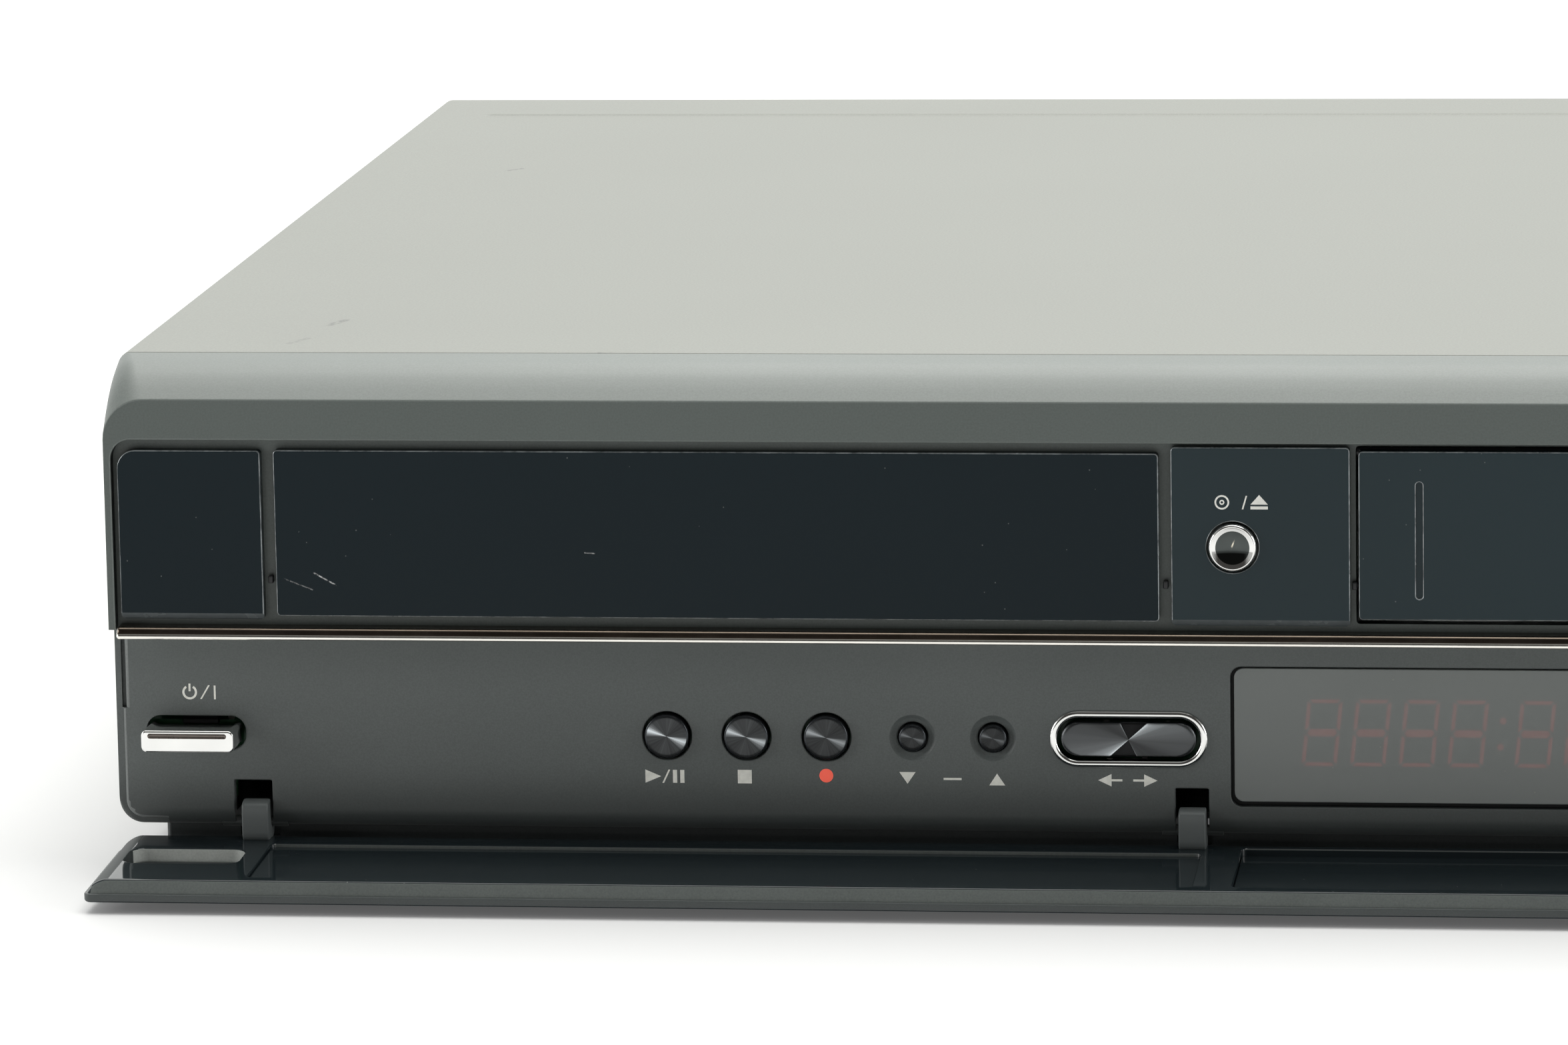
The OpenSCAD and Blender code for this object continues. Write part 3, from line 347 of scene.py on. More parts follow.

# painted shade: a darker copy of the front plastic for the bezel's forward faces
bezel_shaded_mat = Mat("bezel_painted_shade", (83, 90, 87), rough=0.42, metal=0.0, spec=0.5)
bezel_shaded_mat.mottle(0.03, 12, 3).mottle(0.08, 3000, 1.0).rough_noise(0.012, 18, 3)
bezel_shaded_mat.grain(2800, 0.18, 0.008)
# painted highlight: a lighter copy of the front plastic for the rim's edge chamfers
rim_highlight_mat = Mat("rim_painted_highlight", (116, 120, 119), rough=0.36, spec=0.5)
rim_highlight_mat.mottle(0.08, 60, 3).mottle(0.08, 3000, 1.0).grain(2800, 0.12, 0.008)
# painted highlight: a lighter copy of the front plastic meant for the crease line; the panel's rule gives it to no face
crease_highlight_mat = Mat("crease_painted_highlight", (150, 155, 151), rough=0.34, spec=0.5)
crease_highlight_mat.mottle(0.06, 50, 3).mottle(0.08, 3000, 1.0).grain(2800, 0.12, 0.008)
# painted shade: near-black laid in the recess behind the plates and on the display seat floor
recess_shade_mat = Mat("recess_painted_shade", (14, 16, 17), rough=0.34, spec=0.12)
recess_shade_mat.mottle(0.08, 40, 3).grain(3000, 0.15, 0.008)

gloss_mat = Mat("gloss_black", (9, 25, 31), rough=0.055, spec=0.14)
gloss_mat.mottle(0.10, 8, 2).rough_noise(0.02, 25, 4)
gloss_mat.specks(430, 0.05, (120, 124, 124), 0.55)
gloss_mat.stroke((-184.9, 0.3, 51.2), (-180.3, 0.3, 49.4), 0.12, (150, 150, 150), 0.8, 1500)
gloss_mat.stroke((-179.9, 0.3, 52.2), (-176.3, 0.3, 50.2), 0.15, (205, 205, 205), 0.9, 1500)
gloss_mat.stroke((-134.4, 0.3, 55.9), (-132.8, 0.3, 55.8), 0.12, (190, 190, 190), 0.8, 1900)

# painted sheen: the same gloss black made lighter for the eject plate, right plate and flap, standing in for their
# brighter reflections
gloss_right_painted_sheen = Mat("gloss_black_painted_sheen", (27, 43, 48), rough=0.07, spec=0.20)
gloss_right_painted_sheen.mottle(0.10, 8, 2).rough_noise(0.02, 25, 4).specks(430, 0.05, (120, 124, 124), 0.5)
# painted highlight: light metal-grey on the plates' rounded edges, broken by noise into a dotted line
edge_highlight_mat = Mat("gloss_edge_painted_highlight", (150, 156, 158), rough=0.22, metal=0.25, spec=0.6)
edge_highlight_mat.tint(edge_highlight_mat.remap(edge_highlight_mat.noise(260, 4, 0.75), 0.38, 0.62, 0, 0.75), (44, 50, 54)).rough_noise(0.06, 500, 3)
# painted reflection: lighter grey on the plates' downward-facing bottom lip
lip_reflection_mat = Mat("plate_lip_painted_reflection", (96, 102, 104), rough=0.25, metal=0.1, spec=0.5)
lip_reflection_mat.mottle(0.12, 300, 3).rough_noise(0.05, 300, 3)
# gloss black of the door inlays and window patch; on the door frame's upward faces it is painted shade, darker than the
# frame's other faces
door_top_gloss_and_shade = Mat("door_gloss_and_painted_shade", (33, 40, 43), rough=0.06, spec=0.42)
door_top_gloss_and_shade.mottle(0.10, 16, 3).rough_noise(0.03, 60, 3)
door_top_gloss_and_shade.specks(520, 0.05, (150, 152, 150), 0.5)
door_front = Mat("door_edge_plastic", (96, 101, 99), rough=0.36, spec=0.5)
door_front.mottle(0.05, 60, 3).mottle(0.10, 3200, 1.0).grain(3000, 0.16, 0.008)
door_end = Mat("door_end", (52, 57, 57), rough=0.5, spec=0.15)
door_end.mottle(0.06, 60, 3).mottle(0.08, 3200, 1.0).grain(3000, 0.14, 0.008)
# painted light: a light grey copy of the door plastic for the walls of the hole under the power button
door_wall_lit = Mat("door_opening_wall_painted_light", (176, 180, 176), rough=0.34, spec=0.5)
door_wall_lit.mottle(0.06, 90, 3).mottle(0.08, 3200, 1.0).grain(3000, 0.14, 0.008)
door_seam = Mat("door_panel_edge", (66, 71, 71), rough=0.36, spec=0.45)
door_seam.mottle(0.06, 60, 3).mottle(0.08, 3200, 1.0).grain(3000, 0.14, 0.008)
pin_dark = Mat("pin_blackened", (66, 70, 69), rough=0.5, metal=0.0)
pin_dark.mottle(0.08, 400, 3).rough_noise(0.06, 500, 3)
dish_mat = Mat("smoked_chrome", (74, 78, 77), rough=0.05, metal=1.0)
# painted reflection: a bright diagonal line across the dark mirror dish
dish_mat.stroke((-28.07, 0.3, 55.56), (-26.40, 0.3, 59.90), 0.16, (215, 208, 190), 0.85, 500)
dish_mat.mottle(0.06, 300, 2).rough_noise(0.02, 400, 3)

chrome_mat = Mat("chrome", (226, 226, 224), rough=0.06, metal=1.0)
chrome_mat.rough_noise(0.03, 300, 4).mottle(0.04, 120, 3)
strip_mat = Mat("chrome_strip", (236, 233, 226), rough=0.17, metal=1.0)
strip_mat.rough_noise(0.04, 260, 4).mottle(0.05, 90, 3)
# painted reflection: darker brownish chrome on the strip's upper faces, standing in for the dark band it reflects
strip_upper_dark_reflection = Mat("chrome_strip_upper_painted_reflection", (112, 102, 92), rough=0.20, metal=1.0)
strip_upper_dark_reflection.rough_noise(0.05, 200, 4).mottle(0.10, 60, 3)
chrome_mat.bump(chrome_mat.noise(90, 2.0), 0.10, 0.02)

bar_dark = Mat("bar_groove", (112, 104, 98), rough=0.3, metal=0.6)
bar_dark.mottle(0.08, 300, 3).rough_noise(0.05, 400, 3)


def spun_with_painted_fans(name, cx, cz, highlight_peak, base=44, tilt=-19, wide=17):
    """Turned metal: two painted highlight fans on a dark disc, painted into the base colour by angle."""
    m = Mat(name, (70, 74, 78), rough=0.30, metal=0.75, spec=0.5, aniso=0.8)
    m.radial_tangent("Y")
    stops = []
    t = tilt % 180
    for d, k in ((-90, 0.05), (-50, 0.0), (-wide * 1.5, 0.10), (-wide * 0.7, 0.42), (-3, 0.95), (0, 1.0),
                 (4, 0.9), (wide * 0.8, 0.35), (wide * 1.7, 0.08), (55, 0.0)):
        stops.append(((t + d) % 180, base + (highlight_peak - base) * k))
    stops.sort()
    first = stops[0]
    stops = [(0.0, first[1])] + [q for q in stops if q[0] > 0.5] + [(180.0, first[1])]
    return m.paint_angle_highlight(cx, cz, stops)


spun_side = Mat("dark_metal", (58, 61, 64), rough=0.22, metal=0.8)
spun_side.mottle(0.06, 300, 2).rough_noise(0.05, 400, 3)

window_mat = Mat("smoked_window", (122, 127, 125), rough=0.22, spec=0.5, alpha=0.80)
window_mat.mottle(0.03, 14, 2).rough_noise(0.04, 40, 3)
window_mat.specks(380, 0.045, (150, 150, 140), 0.5)
segment_mat = Mat("display_segment", (150, 40, 36), rough=0.5)
segment_mat.mottle(0.2, 260, 3).glow((190, 44, 36), 2.5)
glass_mat = Mat("display_glass", (34, 32, 34), rough=0.18, spec=0.5)
glass_mat.mottle(0.1, 60, 2)

print_mat = Mat("print_grey", (238, 238, 230), rough=0.55, spec=0.3)
print_mat.mottle(0.08, 900, 3)
print_dim = Mat("print_light", (232, 232, 226), rough=0.5, spec=0.3)
print_dim.mottle(0.08, 900, 3)
# red print of the record dot, with a faint painted glow
red_print_glow = Mat("print_red_painted_glow", (255, 112, 92), rough=0.5, spec=0.3)
red_print_glow.mottle(0.06, 900, 3).glow((255, 92, 74), 0.22)

steel_mat = Mat("bare_steel", (168, 170, 170), rough=0.36, metal=1.0)
steel_mat.mottle(0.10, 60, 4).rough_noise(0.10, 90, 4, (1, 6, 1)).grain(900, 0.08, 0.01)
pin_mat = Mat("pin_steel", (188, 188, 186), rough=0.2, metal=1.0)
pin_mat.mottle(0.05, 200, 3).rough_noise(0.06, 500, 3)
rubber_mat = Mat("foot_rubber", (26, 26, 27), rough=0.75, spec=0.35)
rubber_mat.mottle(0.12, 200, 3).grain(1600, 0.35, 0.03)
screw_mat = Mat("screw_black", (40, 40, 42), rough=0.34, metal=0.7)
screw_mat.mottle(0.1, 400, 3).rough_noise(0.08, 500, 3)
mech_mat = Mat("mech_plastic", (40, 41, 43), rough=0.48, spec=0.45)
mech_mat.mottle(0.07, 50, 3).grain(2200, 0.25, 0.015)
white_mat = Mat("white_plastic", (212, 210, 200), rough=0.42, spec=0.5)
white_mat.mottle(0.05, 80, 3).grain(1800, 0.15, 0.01)
alloy_mat = Mat("drum_alloy", (198, 199, 200), rough=0.18, metal=1.0, aniso=0.6)
alloy_mat.mottle(0.04, 300, 3).rough_noise(0.05, 700, 3)
copper_mat = Mat("winding", (150, 92, 44), rough=0.4, metal=0.5)
copper_mat.mottle(0.15, 500, 3).bump(copper_mat.noise(1400, 1, 0.5, (1, 1, 6)), 0.4, 0.05)
black_part = Mat("component_black", (28, 28, 30), rough=0.4, spec=0.5)
black_part.mottle(0.12, 120, 3).grain(1500, 0.2, 0.01)
can_mat = Mat("capacitor_sleeve", (26, 38, 66), rough=0.3, spec=0.5)
can_mat.mottle(0.1, 150, 2)
yellow_part = Mat("transformer_tape", (206, 166, 58), rough=0.45, spec=0.4)
yellow_part.mottle(0.08, 150, 3).grain(700, 0.2, 0.02)


def pcb(name, base, trace):
    m = Mat(name, base, rough=0.34, spec=0.5)
    br = m.n("ShaderNodeTexBrick")
    m.l(m.obj, br.inputs["Vector"])
    br.inputs["Scale"].default_value = 90
    br.inputs["Mortar Size"].default_value = 0.05
    br.inputs["Mortar Smooth"].default_value = 0.1
    br.inputs["Color1"].default_value = (0, 0, 0, 1)
    br.inputs["Color2"].default_value = (0, 0, 0, 1)
    br.inputs["Mortar"].default_value = (1, 1, 1, 1)
    br.offset = 0.37
    lines = m.math("MULTIPLY", br.outputs["Fac"], m.remap(m.noise(60, 2), 0.45, 0.55, 0, 1))
    m.tint(m.math("MULTIPLY", lines, 0.7), trace)
    pads = m.math("LESS_THAN", m.voronoi(260), 0.16)
    m.tint(m.math("MULTIPLY", pads, 0.85), (190, 190, 180))
    m.mottle(0.08, 60, 3)
    return m


green_mat = pcb("green_board", (28, 82, 48), (44, 112, 66))
brown_mat = pcb("brown_board", (150, 122, 70), (120, 94, 52))
jack_yellow = Mat("jack_yellow", (214, 178, 40), rough=0.35, spec=0.5)
jack_white = Mat("jack_white", (222, 220, 212), rough=0.35, spec=0.5)
jack_red = Mat("jack_red", (176, 34, 30), rough=0.35, spec=0.5)
jack_green = Mat("jack_green", (30, 120, 60), rough=0.35, spec=0.5)
jack_blue = Mat("jack_blue", (34, 66, 150), rough=0.35, spec=0.5)
for _m in (jack_yellow, jack_white, jack_red, jack_green, jack_blue):
    _m.mottle(0.05, 300, 3).grain(1800, 0.12, 0.01)
socket_body = Mat("socket_plastic", (24, 24, 26), rough=0.42, spec=0.5)
socket_body.mottle(0.08, 120, 3).grain(2000, 0.2, 0.01)


# --------------------------------------------------------------------------
# mesh helpers
# --------------------------------------------------------------------------
def rr(x0, x1, z0, z1, r, n=6):
    """Rounded rectangle; r is one radius or (bl, br, tr, tl). f(g) is grown by g."""
    rs = r if isinstance(r, tuple) else (r,) * 4

    def f(g=0.0):
        out = []
        a, b, c, d = x0 - g, x1 + g, z0 - g, z1 + g
        for k, (px, pz, sx, sz, a0) in enumerate(
                ((a, c, 1, 1, 180), (b, c, -1, 1, 270), (b, d, -1, -1, 0), (a, d, 1, -1, 90))):
            R = max(rs[k] + g, 0.01)
            for i in range(n + 1):
                t = rad(a0 + 90 * i / n)
                out.append((px + sx * R + R * math.cos(t), pz + sz * R + R * math.sin(t)))
        return out
    return f


def circ(cx, cz, r, n=64):
    def f(g=0.0):
        return [(cx + (r + g) * math.cos(2 * math.pi * i / n),
                 cz + (r + g) * math.sin(2 * math.pi * i / n)) for i in range(n)]
    return f


def poly(points):
    """A fixed polygon, grown by scaling about its middle."""
    cx = sum(p[0] for p in points) / len(points)
    cz = sum(p[1] for p in points) / len(points)

    def f(g=0.0):
        out = []
        for x, z in points:
            d = math.hypot(x - cx, z - cz) or 1
            k = 1 + g / d
            out.append((cx + (x - cx) * k, cz + (z - cz) * k))
        return out
    return f


def chaikin(points, times=2):
    for _ in range(times):
        out = []
        for i, p in enumerate(points):
            q = points[(i + 1) % len(points)]
            out.append((p[0] * 0.75 + q[0] * 0.25, p[1] * 0.75 + q[1] * 0.25))
            out.append((p[0] * 0.25 + q[0] * 0.75, p[1] * 0.25 + q[1] * 0.75))
        points = out
    return points


def at(axis, u, w, d):
    return (u, d, w) if axis == "y" else (u, w, d) if axis == "z" else (d, u, w)


def stack(f, prof, axis="y", cap0=True, cap1=True, loop=False):
    """Rings of the outline f at (depth, grow), joined with quads."""
    verts, faces, n = [], [], 0
    for d, g in prof:
        o = f(g)
        n = len(o)
        verts += [at(axis, u, w, d) for u, w in o]
    rings = len(prof)
    for k in range(rings if loop else rings - 1):
        a, b = k * n, ((k + 1) % rings) * n
        for i in range(n):
            j = (i + 1) % n
            faces.append((a + i, a + j, b + j, b + i))
    if not loop:
        if cap0:
            faces.append(tuple(range(n - 1, -1, -1)))
        if cap1:
            faces.append(tuple((rings - 1) * n + i for i in range(n)))
    return verts, faces


def q_in(y, r, k=4):
    """Rounded front edge, from the face at depth y to the side wall."""
    return [(y + r - r * math.cos(rad(90 * i / k)), -r + r * math.sin(rad(90 * i / k)))
            for i in range(k + 1)]


def q_out(y, r, k=4):
    """Rounded back edge, from the side wall to the back face at depth y."""
    return [(y - r + r * math.cos(rad(90 - 90 * i / k)), -r + r * math.sin(rad(90 - 90 * i / k)))
            for i in range(k + 1)]


def slab(f, y0, y1, r0=0.3, r1=0.15, axis="y", k=4):
    return stack(f, q_in(y0, r0, k) + q_out(y1, r1, 2), axis)


def hole(f, y0, y1, r=0.25, axis="y", k=3, out=1.5):
    """A cutter whose mouth at depth y0 leaves a rounded edge of radius r."""
    prof = [(y0 - out, r)]
    prof += [(y0 + r - r * math.cos(rad(90 * i / k)), r - r * math.sin(rad(90 * i / k)))
             for i in range(k + 1)]
    prof.append((y1, 0))
    return stack(f, prof, axis)


def box(x0, x1, y0, y1, z0, z1):
    v = [(x, y, z) for x in (x0, x1) for y in (y0, y1) for z in (z0, z1)]
    f = [(0, 1, 3, 2), (4, 6, 7, 5), (0, 4, 5, 1), (2, 3, 7, 6), (0, 2, 6, 4), (1, 5, 7, 3)]
    return v, f


def lathe(cx, cz, prof, n=72, axis="y"):
    """Revolve (radius, depth) pairs; a zero radius makes a pole."""
    verts, faces, rings = [], [], []
    for r, d in prof:
        if r < 1e-6:
            rings.append([len(verts)])
            verts.append(at(axis, cx, cz, d))
        else:
            rings.append(list(range(len(verts), len(verts) + n)))
            verts += [at(axis, cx + r * math.cos(2 * math.pi * i / n),
                         cz + r * math.sin(2 * math.pi * i / n), d) for i in range(n)]
    for a, b in zip(rings, rings[1:]):
        for i in range(n):
            j = (i + 1) % n
            if len(a) == 1 and len(b) == 1:
                continue
            if len(a) == 1:
                faces.append((a[0], b[i], b[j]))
            elif len(b) == 1:
                faces.append((a[i], a[j], b[0]))
            else:
                faces.append((a[i], a[j], b[j], b[i]))
    return verts, faces


def merge(*parts):
    V, F = [], []
    for v, f in parts:
        k = len(V)
        V += list(v)
        F += [tuple(i + k for i in face) for face in f]
    return V, F


def raw(name, vf):
    me = bpy.data.meshes.new(name)
    me.from_pydata([P(*v) for v in vf[0]], [], [list(f) for f in vf[1]])
    bm = bmesh.new()
    bm.from_mesh(me)
    bmesh.ops.remove_doubles(bm, verts=bm.verts, dist=5e-7)
    bmesh.ops.recalc_face_normals(bm, faces=bm.faces)
    bm.to_mesh(me)
    bm.free()
    o = bpy.data.objects.new(name, me)
    SCN.collection.objects.link(o)
    return o


def boolean(o, parts, op="DIFFERENCE", self_cut=False):
    tool = raw("tool", merge(*parts) if isinstance(parts, list) else parts)
    m = o.modifiers.new("cut", "BOOLEAN")
    m.operation, m.object, m.solver = op, tool, "EXACT"
    m.use_self = self_cut
    bpy.context.view_layer.update()
    dg = bpy.context.evaluated_depsgraph_get()
    me = bpy.data.meshes.new_from_object(o.evaluated_get(dg))
    o.modifiers.clear()
    old, name = o.data, o.data.name
    o.data = me
    bpy.data.meshes.remove(old)
    me.name = name
    t = tool.data
    bpy.data.objects.remove(tool)
    bpy.data.meshes.remove(t)
    bm = bmesh.new()
    bm.from_mesh(me)
    bmesh.ops.remove_doubles(bm, verts=bm.verts, dist=8e-7)
    bmesh.ops.dissolve_degenerate(bm, dist=4e-7, edges=bm.edges)
    bm.to_mesh(me)
    bm.free()
    return o


def place(o, mats, body, slot, rep=(), sharp=40, rule=None, wn=True, bevel=None):
    me = o.data
    me.materials.clear()
    for m in mats:
        me.materials.append(m.m)
    for p in me.polygons:
        p.use_smooth = True
        if rule is not None:
            c = p.center
            p.material_index = rule(c.x * 1e3, c.y * 1e3 - SHIFT, c.z * 1e3, p.normal)
    me.set_sharp_from_angle(angle=rad(sharp))
    if bevel:
        b = o.modifiers.new("edge", "BEVEL")
        b.width, b.segments, b.limit_method = bevel * 1e-3, 2, "ANGLE"
        b.angle_limit = rad(sharp)
        b.harden_normals = False
    if wn:
        w = o.modifiers.new("shade", "WEIGHTED_NORMAL")
        w.keep_sharp = not bevel
        w.weight = 60
    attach(o, body)
    if rep:
        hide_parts(*rep)
    return o


def piece(name, vf, mats, body, slot, rep=(), **kw):
    return place(raw(name, vf), mats, body, slot, rep, **kw)


def clone(node, mats, slot, rule=None, bevel=0.15, sharp=38, name=None):
    """A cleaned copy of a CAD node with softened edges and its own finish."""
    src = NODE[node]
    me = src.data.copy()
    me.name = name or node + "_fin"
    bm = bmesh.new()
    bm.from_mesh(me)
    bmesh.ops.remove_doubles(bm, verts=bm.verts, dist=2e-6)
    bmesh.ops.dissolve_limit(bm, angle_limit=rad(0.6), verts=bm.verts, edges=bm.edges)
    bm.to_mesh(me)
    bm.free()
    for a in [a.name for a in me.attributes if a.name == "custom_normal"]:
        me.attributes.remove(me.attributes[a])
    o = bpy.data.objects.new(name or node + "_fin", me)
    SCN.collection.objects.link(o)
    return place(o, mats, src["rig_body"], slot, (node,), sharp=sharp, rule=rule, bevel=bevel)


def lerp(xs, ys, x):
    """Monotone cubic through the points."""
    n = len(xs)
    d = [(ys[i + 1] - ys[i]) / (xs[i + 1] - xs[i]) for i in range(n - 1)]
    m = [d[0]] + [0 if d[i - 1] * d[i] <= 0 else 2 * d[i - 1] * d[i] / (d[i - 1] + d[i])
                  for i in range(1, n - 1)] + [d[-1]]
    if x <= xs[0]:
        return ys[0]
    if x >= xs[-1]:
        return ys[-1]
    k = max(i for i in range(n - 1) if xs[i] <= x)
    h = xs[k + 1] - xs[k]
    t = (x - xs[k]) / h
    return ((1 + 2 * t) * (1 - t) ** 2 * ys[k] + t * (1 - t) ** 2 * h * m[k]
            + t * t * (3 - 2 * t) * ys[k + 1] + t * t * (t - 1) * h * m[k + 1])


def smooth(a, b, x):
    t = min(1.0, max(0.0, (x - a) / (b - a)))
    return t * t * (3 - 2 * t)


SLOTS = [(-195.1, -188.65), (-37.2, -31.6), (77.4, 83.2), (188.65, 195.1)]
DX, DY, TX = -112.85, 75.5, 89.9


# --------------------------------------------------------------------------
# top cover: one folded sheet with a stamped line, hems, vents and soft dents
# --------------------------------------------------------------------------
def cover():
    R, t = 2.2, 0.8
    side = [9.0, 9.12, 10.28, 10.34, 14, 20, 27, 34, 41, 48, 55, 62, 69, 76, 82, 84.8]
    sec = []                                        # (x, z, nx, nz, thickness)
    for z in side:
        sec.append((-215, z, -1, 0, 2.4 if z < 10.3 else t))
    for i in range(1, 9):
        a = rad(180 - 90 * i / 8)
        sec.append((-212.8 + R * math.cos(a), 84.8 + R * math.sin(a), math.cos(a), math.sin(a), t))
    xs = [x * 4.0 for x in range(-53, 54)] + [-203, -202, -201.2, -200.5, -199, 199, 200.5, 201.2, 202, 203]
    for x in sorted(set(xs)):
        sec.append((x, 87.0, 0, 1, t))
    sec += [(-s[0], s[1], -s[2], s[3], s[4]) for s in reversed(sec[:24])]
    ys = [15.0, 15.05, 15.12, 15.25] + [18 + 4 * i for i in range(75)]
    ys += [317.6, 318.8, 319.6, 320.0, 320.4, 320.8, 321.1, 321.4, 321.7, 322.0, 322.3,
           322.7, 323.1, 323.5, 324.0, 325.0, 328, 332, 336, 340, 344, 345.6, 345.85, 345.97, 346.0]
    ys = sorted(set(y for y in ys if not 314.5 < y < 317.5))

    def top_dz(x, y):
        end = smooth(202.0, 200.2, abs(x))
        g = -0.42 * math.exp(-((y - 321.55) / 0.62) ** 2)
        g += 0.09 * math.exp(-((y - 323.2) / 0.6) ** 2) + 0.07 * math.exp(-((y - 319.9) / 0.6) ** 2)
        d = g * end
        d -= 0.055 * math.exp(-((x + 59) / 5.5) ** 2 - ((y - 109) / 7) ** 2)
        d += 0.03 * math.exp(-((x + 51) / 6) ** 2 - ((y - 103) / 8) ** 2)
        u, v = (x + 99) * 0.94 - (y - 45) * 0.34, (x + 99) * 0.34 + (y - 45) * 0.94
        d -= 0.035 * math.exp(-(u / 5.5) ** 2 - (v / 14) ** 2)
        fade = smooth(14, 40, y) * smooth(346, 310, y) * smooth(212, 180, abs(x))
        d += 0.012 * fade * noise.noise(Vector((x / 150, y / 150, 3.1)))
        # a sheet this wide lies a touch low in the middle
        d -= 0.10 * fade * math.cos(x / 215 * 1.5)
        return d

    outer, inner, faces = [], [], []
    for y in ys:
        e = 0.0
        if y < 15.1:
            e = {15.0: 0.2, 15.05: 0.07}.get(round(y, 2), 0.0)
        if y > 345.9:
            e = {345.97: 0.08, 346.0: 0.2}.get(round(y, 2), 0.0)
        for x, z, nx, nz, th in sec:
            dz = top_dz(x, y) * max(0.0, nz) ** 4 if nz > 0.5 else 0.0
            dxx = 0.04 * noise.noise(Vector((z / 40, y / 90, 1.7))) * nx * smooth(9, 30, z) if nz < 0.1 else 0
            outer.append((x - nx * e + abs(dxx) * -nx, y, z - nz * e + dz))
            inner.append((x - nx * (th - e), y, z - nz * (th - e) + dz))
    n, m = len(sec), len(ys)
    V = outer + inner
    off = len(outer)
    for j in range(m - 1):
        for i in range(n - 1):
            a, b = j * n + i, (j + 1) * n + i
            faces.append((a, a + 1, b + 1, b))
            faces.append((off + a, off + b, off + b + 1, off + a + 1))
        for i in (0, n - 1):
            a, b = j * n + i, (j + 1) * n + i
            faces.append((a, b, off + b, off + a))
    for j in (0, m - 1):
        for i in range(n - 1):
            a = j * n + i
            faces.append((a, a + 1, off + a + 1, off + a))
    o = raw("cover_shell", (V, faces))
    cuts = []
    for s in (-1, 1):
        x0, x1 = (213.0, 216.0) if s > 0 else (-216.0, -213.0)
        for k in range(14):
            f = rr(232 + k * 6, 234.4 + k * 6, 34, 58, 1.19, 5)
            cuts.append(stack(f, [(x0, 0), (x1, 0)], "x"))
        for y in (60, 300):
            f = circ(y, 26, 1.9, 24)
            cuts.append(stack(f, [(x0, 0), (x1, 0)], "x"))
    boolean(o, cuts)
    return place(o, [cover_mat], "casing", "cover_paint", ("top_cover",), sharp=50)


cover()


# --------------------------------------------------------------------------
# moulded front panel
# --------------------------------------------------------------------------
YC = [0, 1.2, 3.2, 6, 9.4, 14.8]
ZT = [0, 0.88, 2.28, 3.76, 4.88, 5.6]
RT = [7, 6.6, 5.9, 5, 3.9, 2.2]
RB = [4.5, 4.4, 4.2, 4.0, 3.7, 3.2]


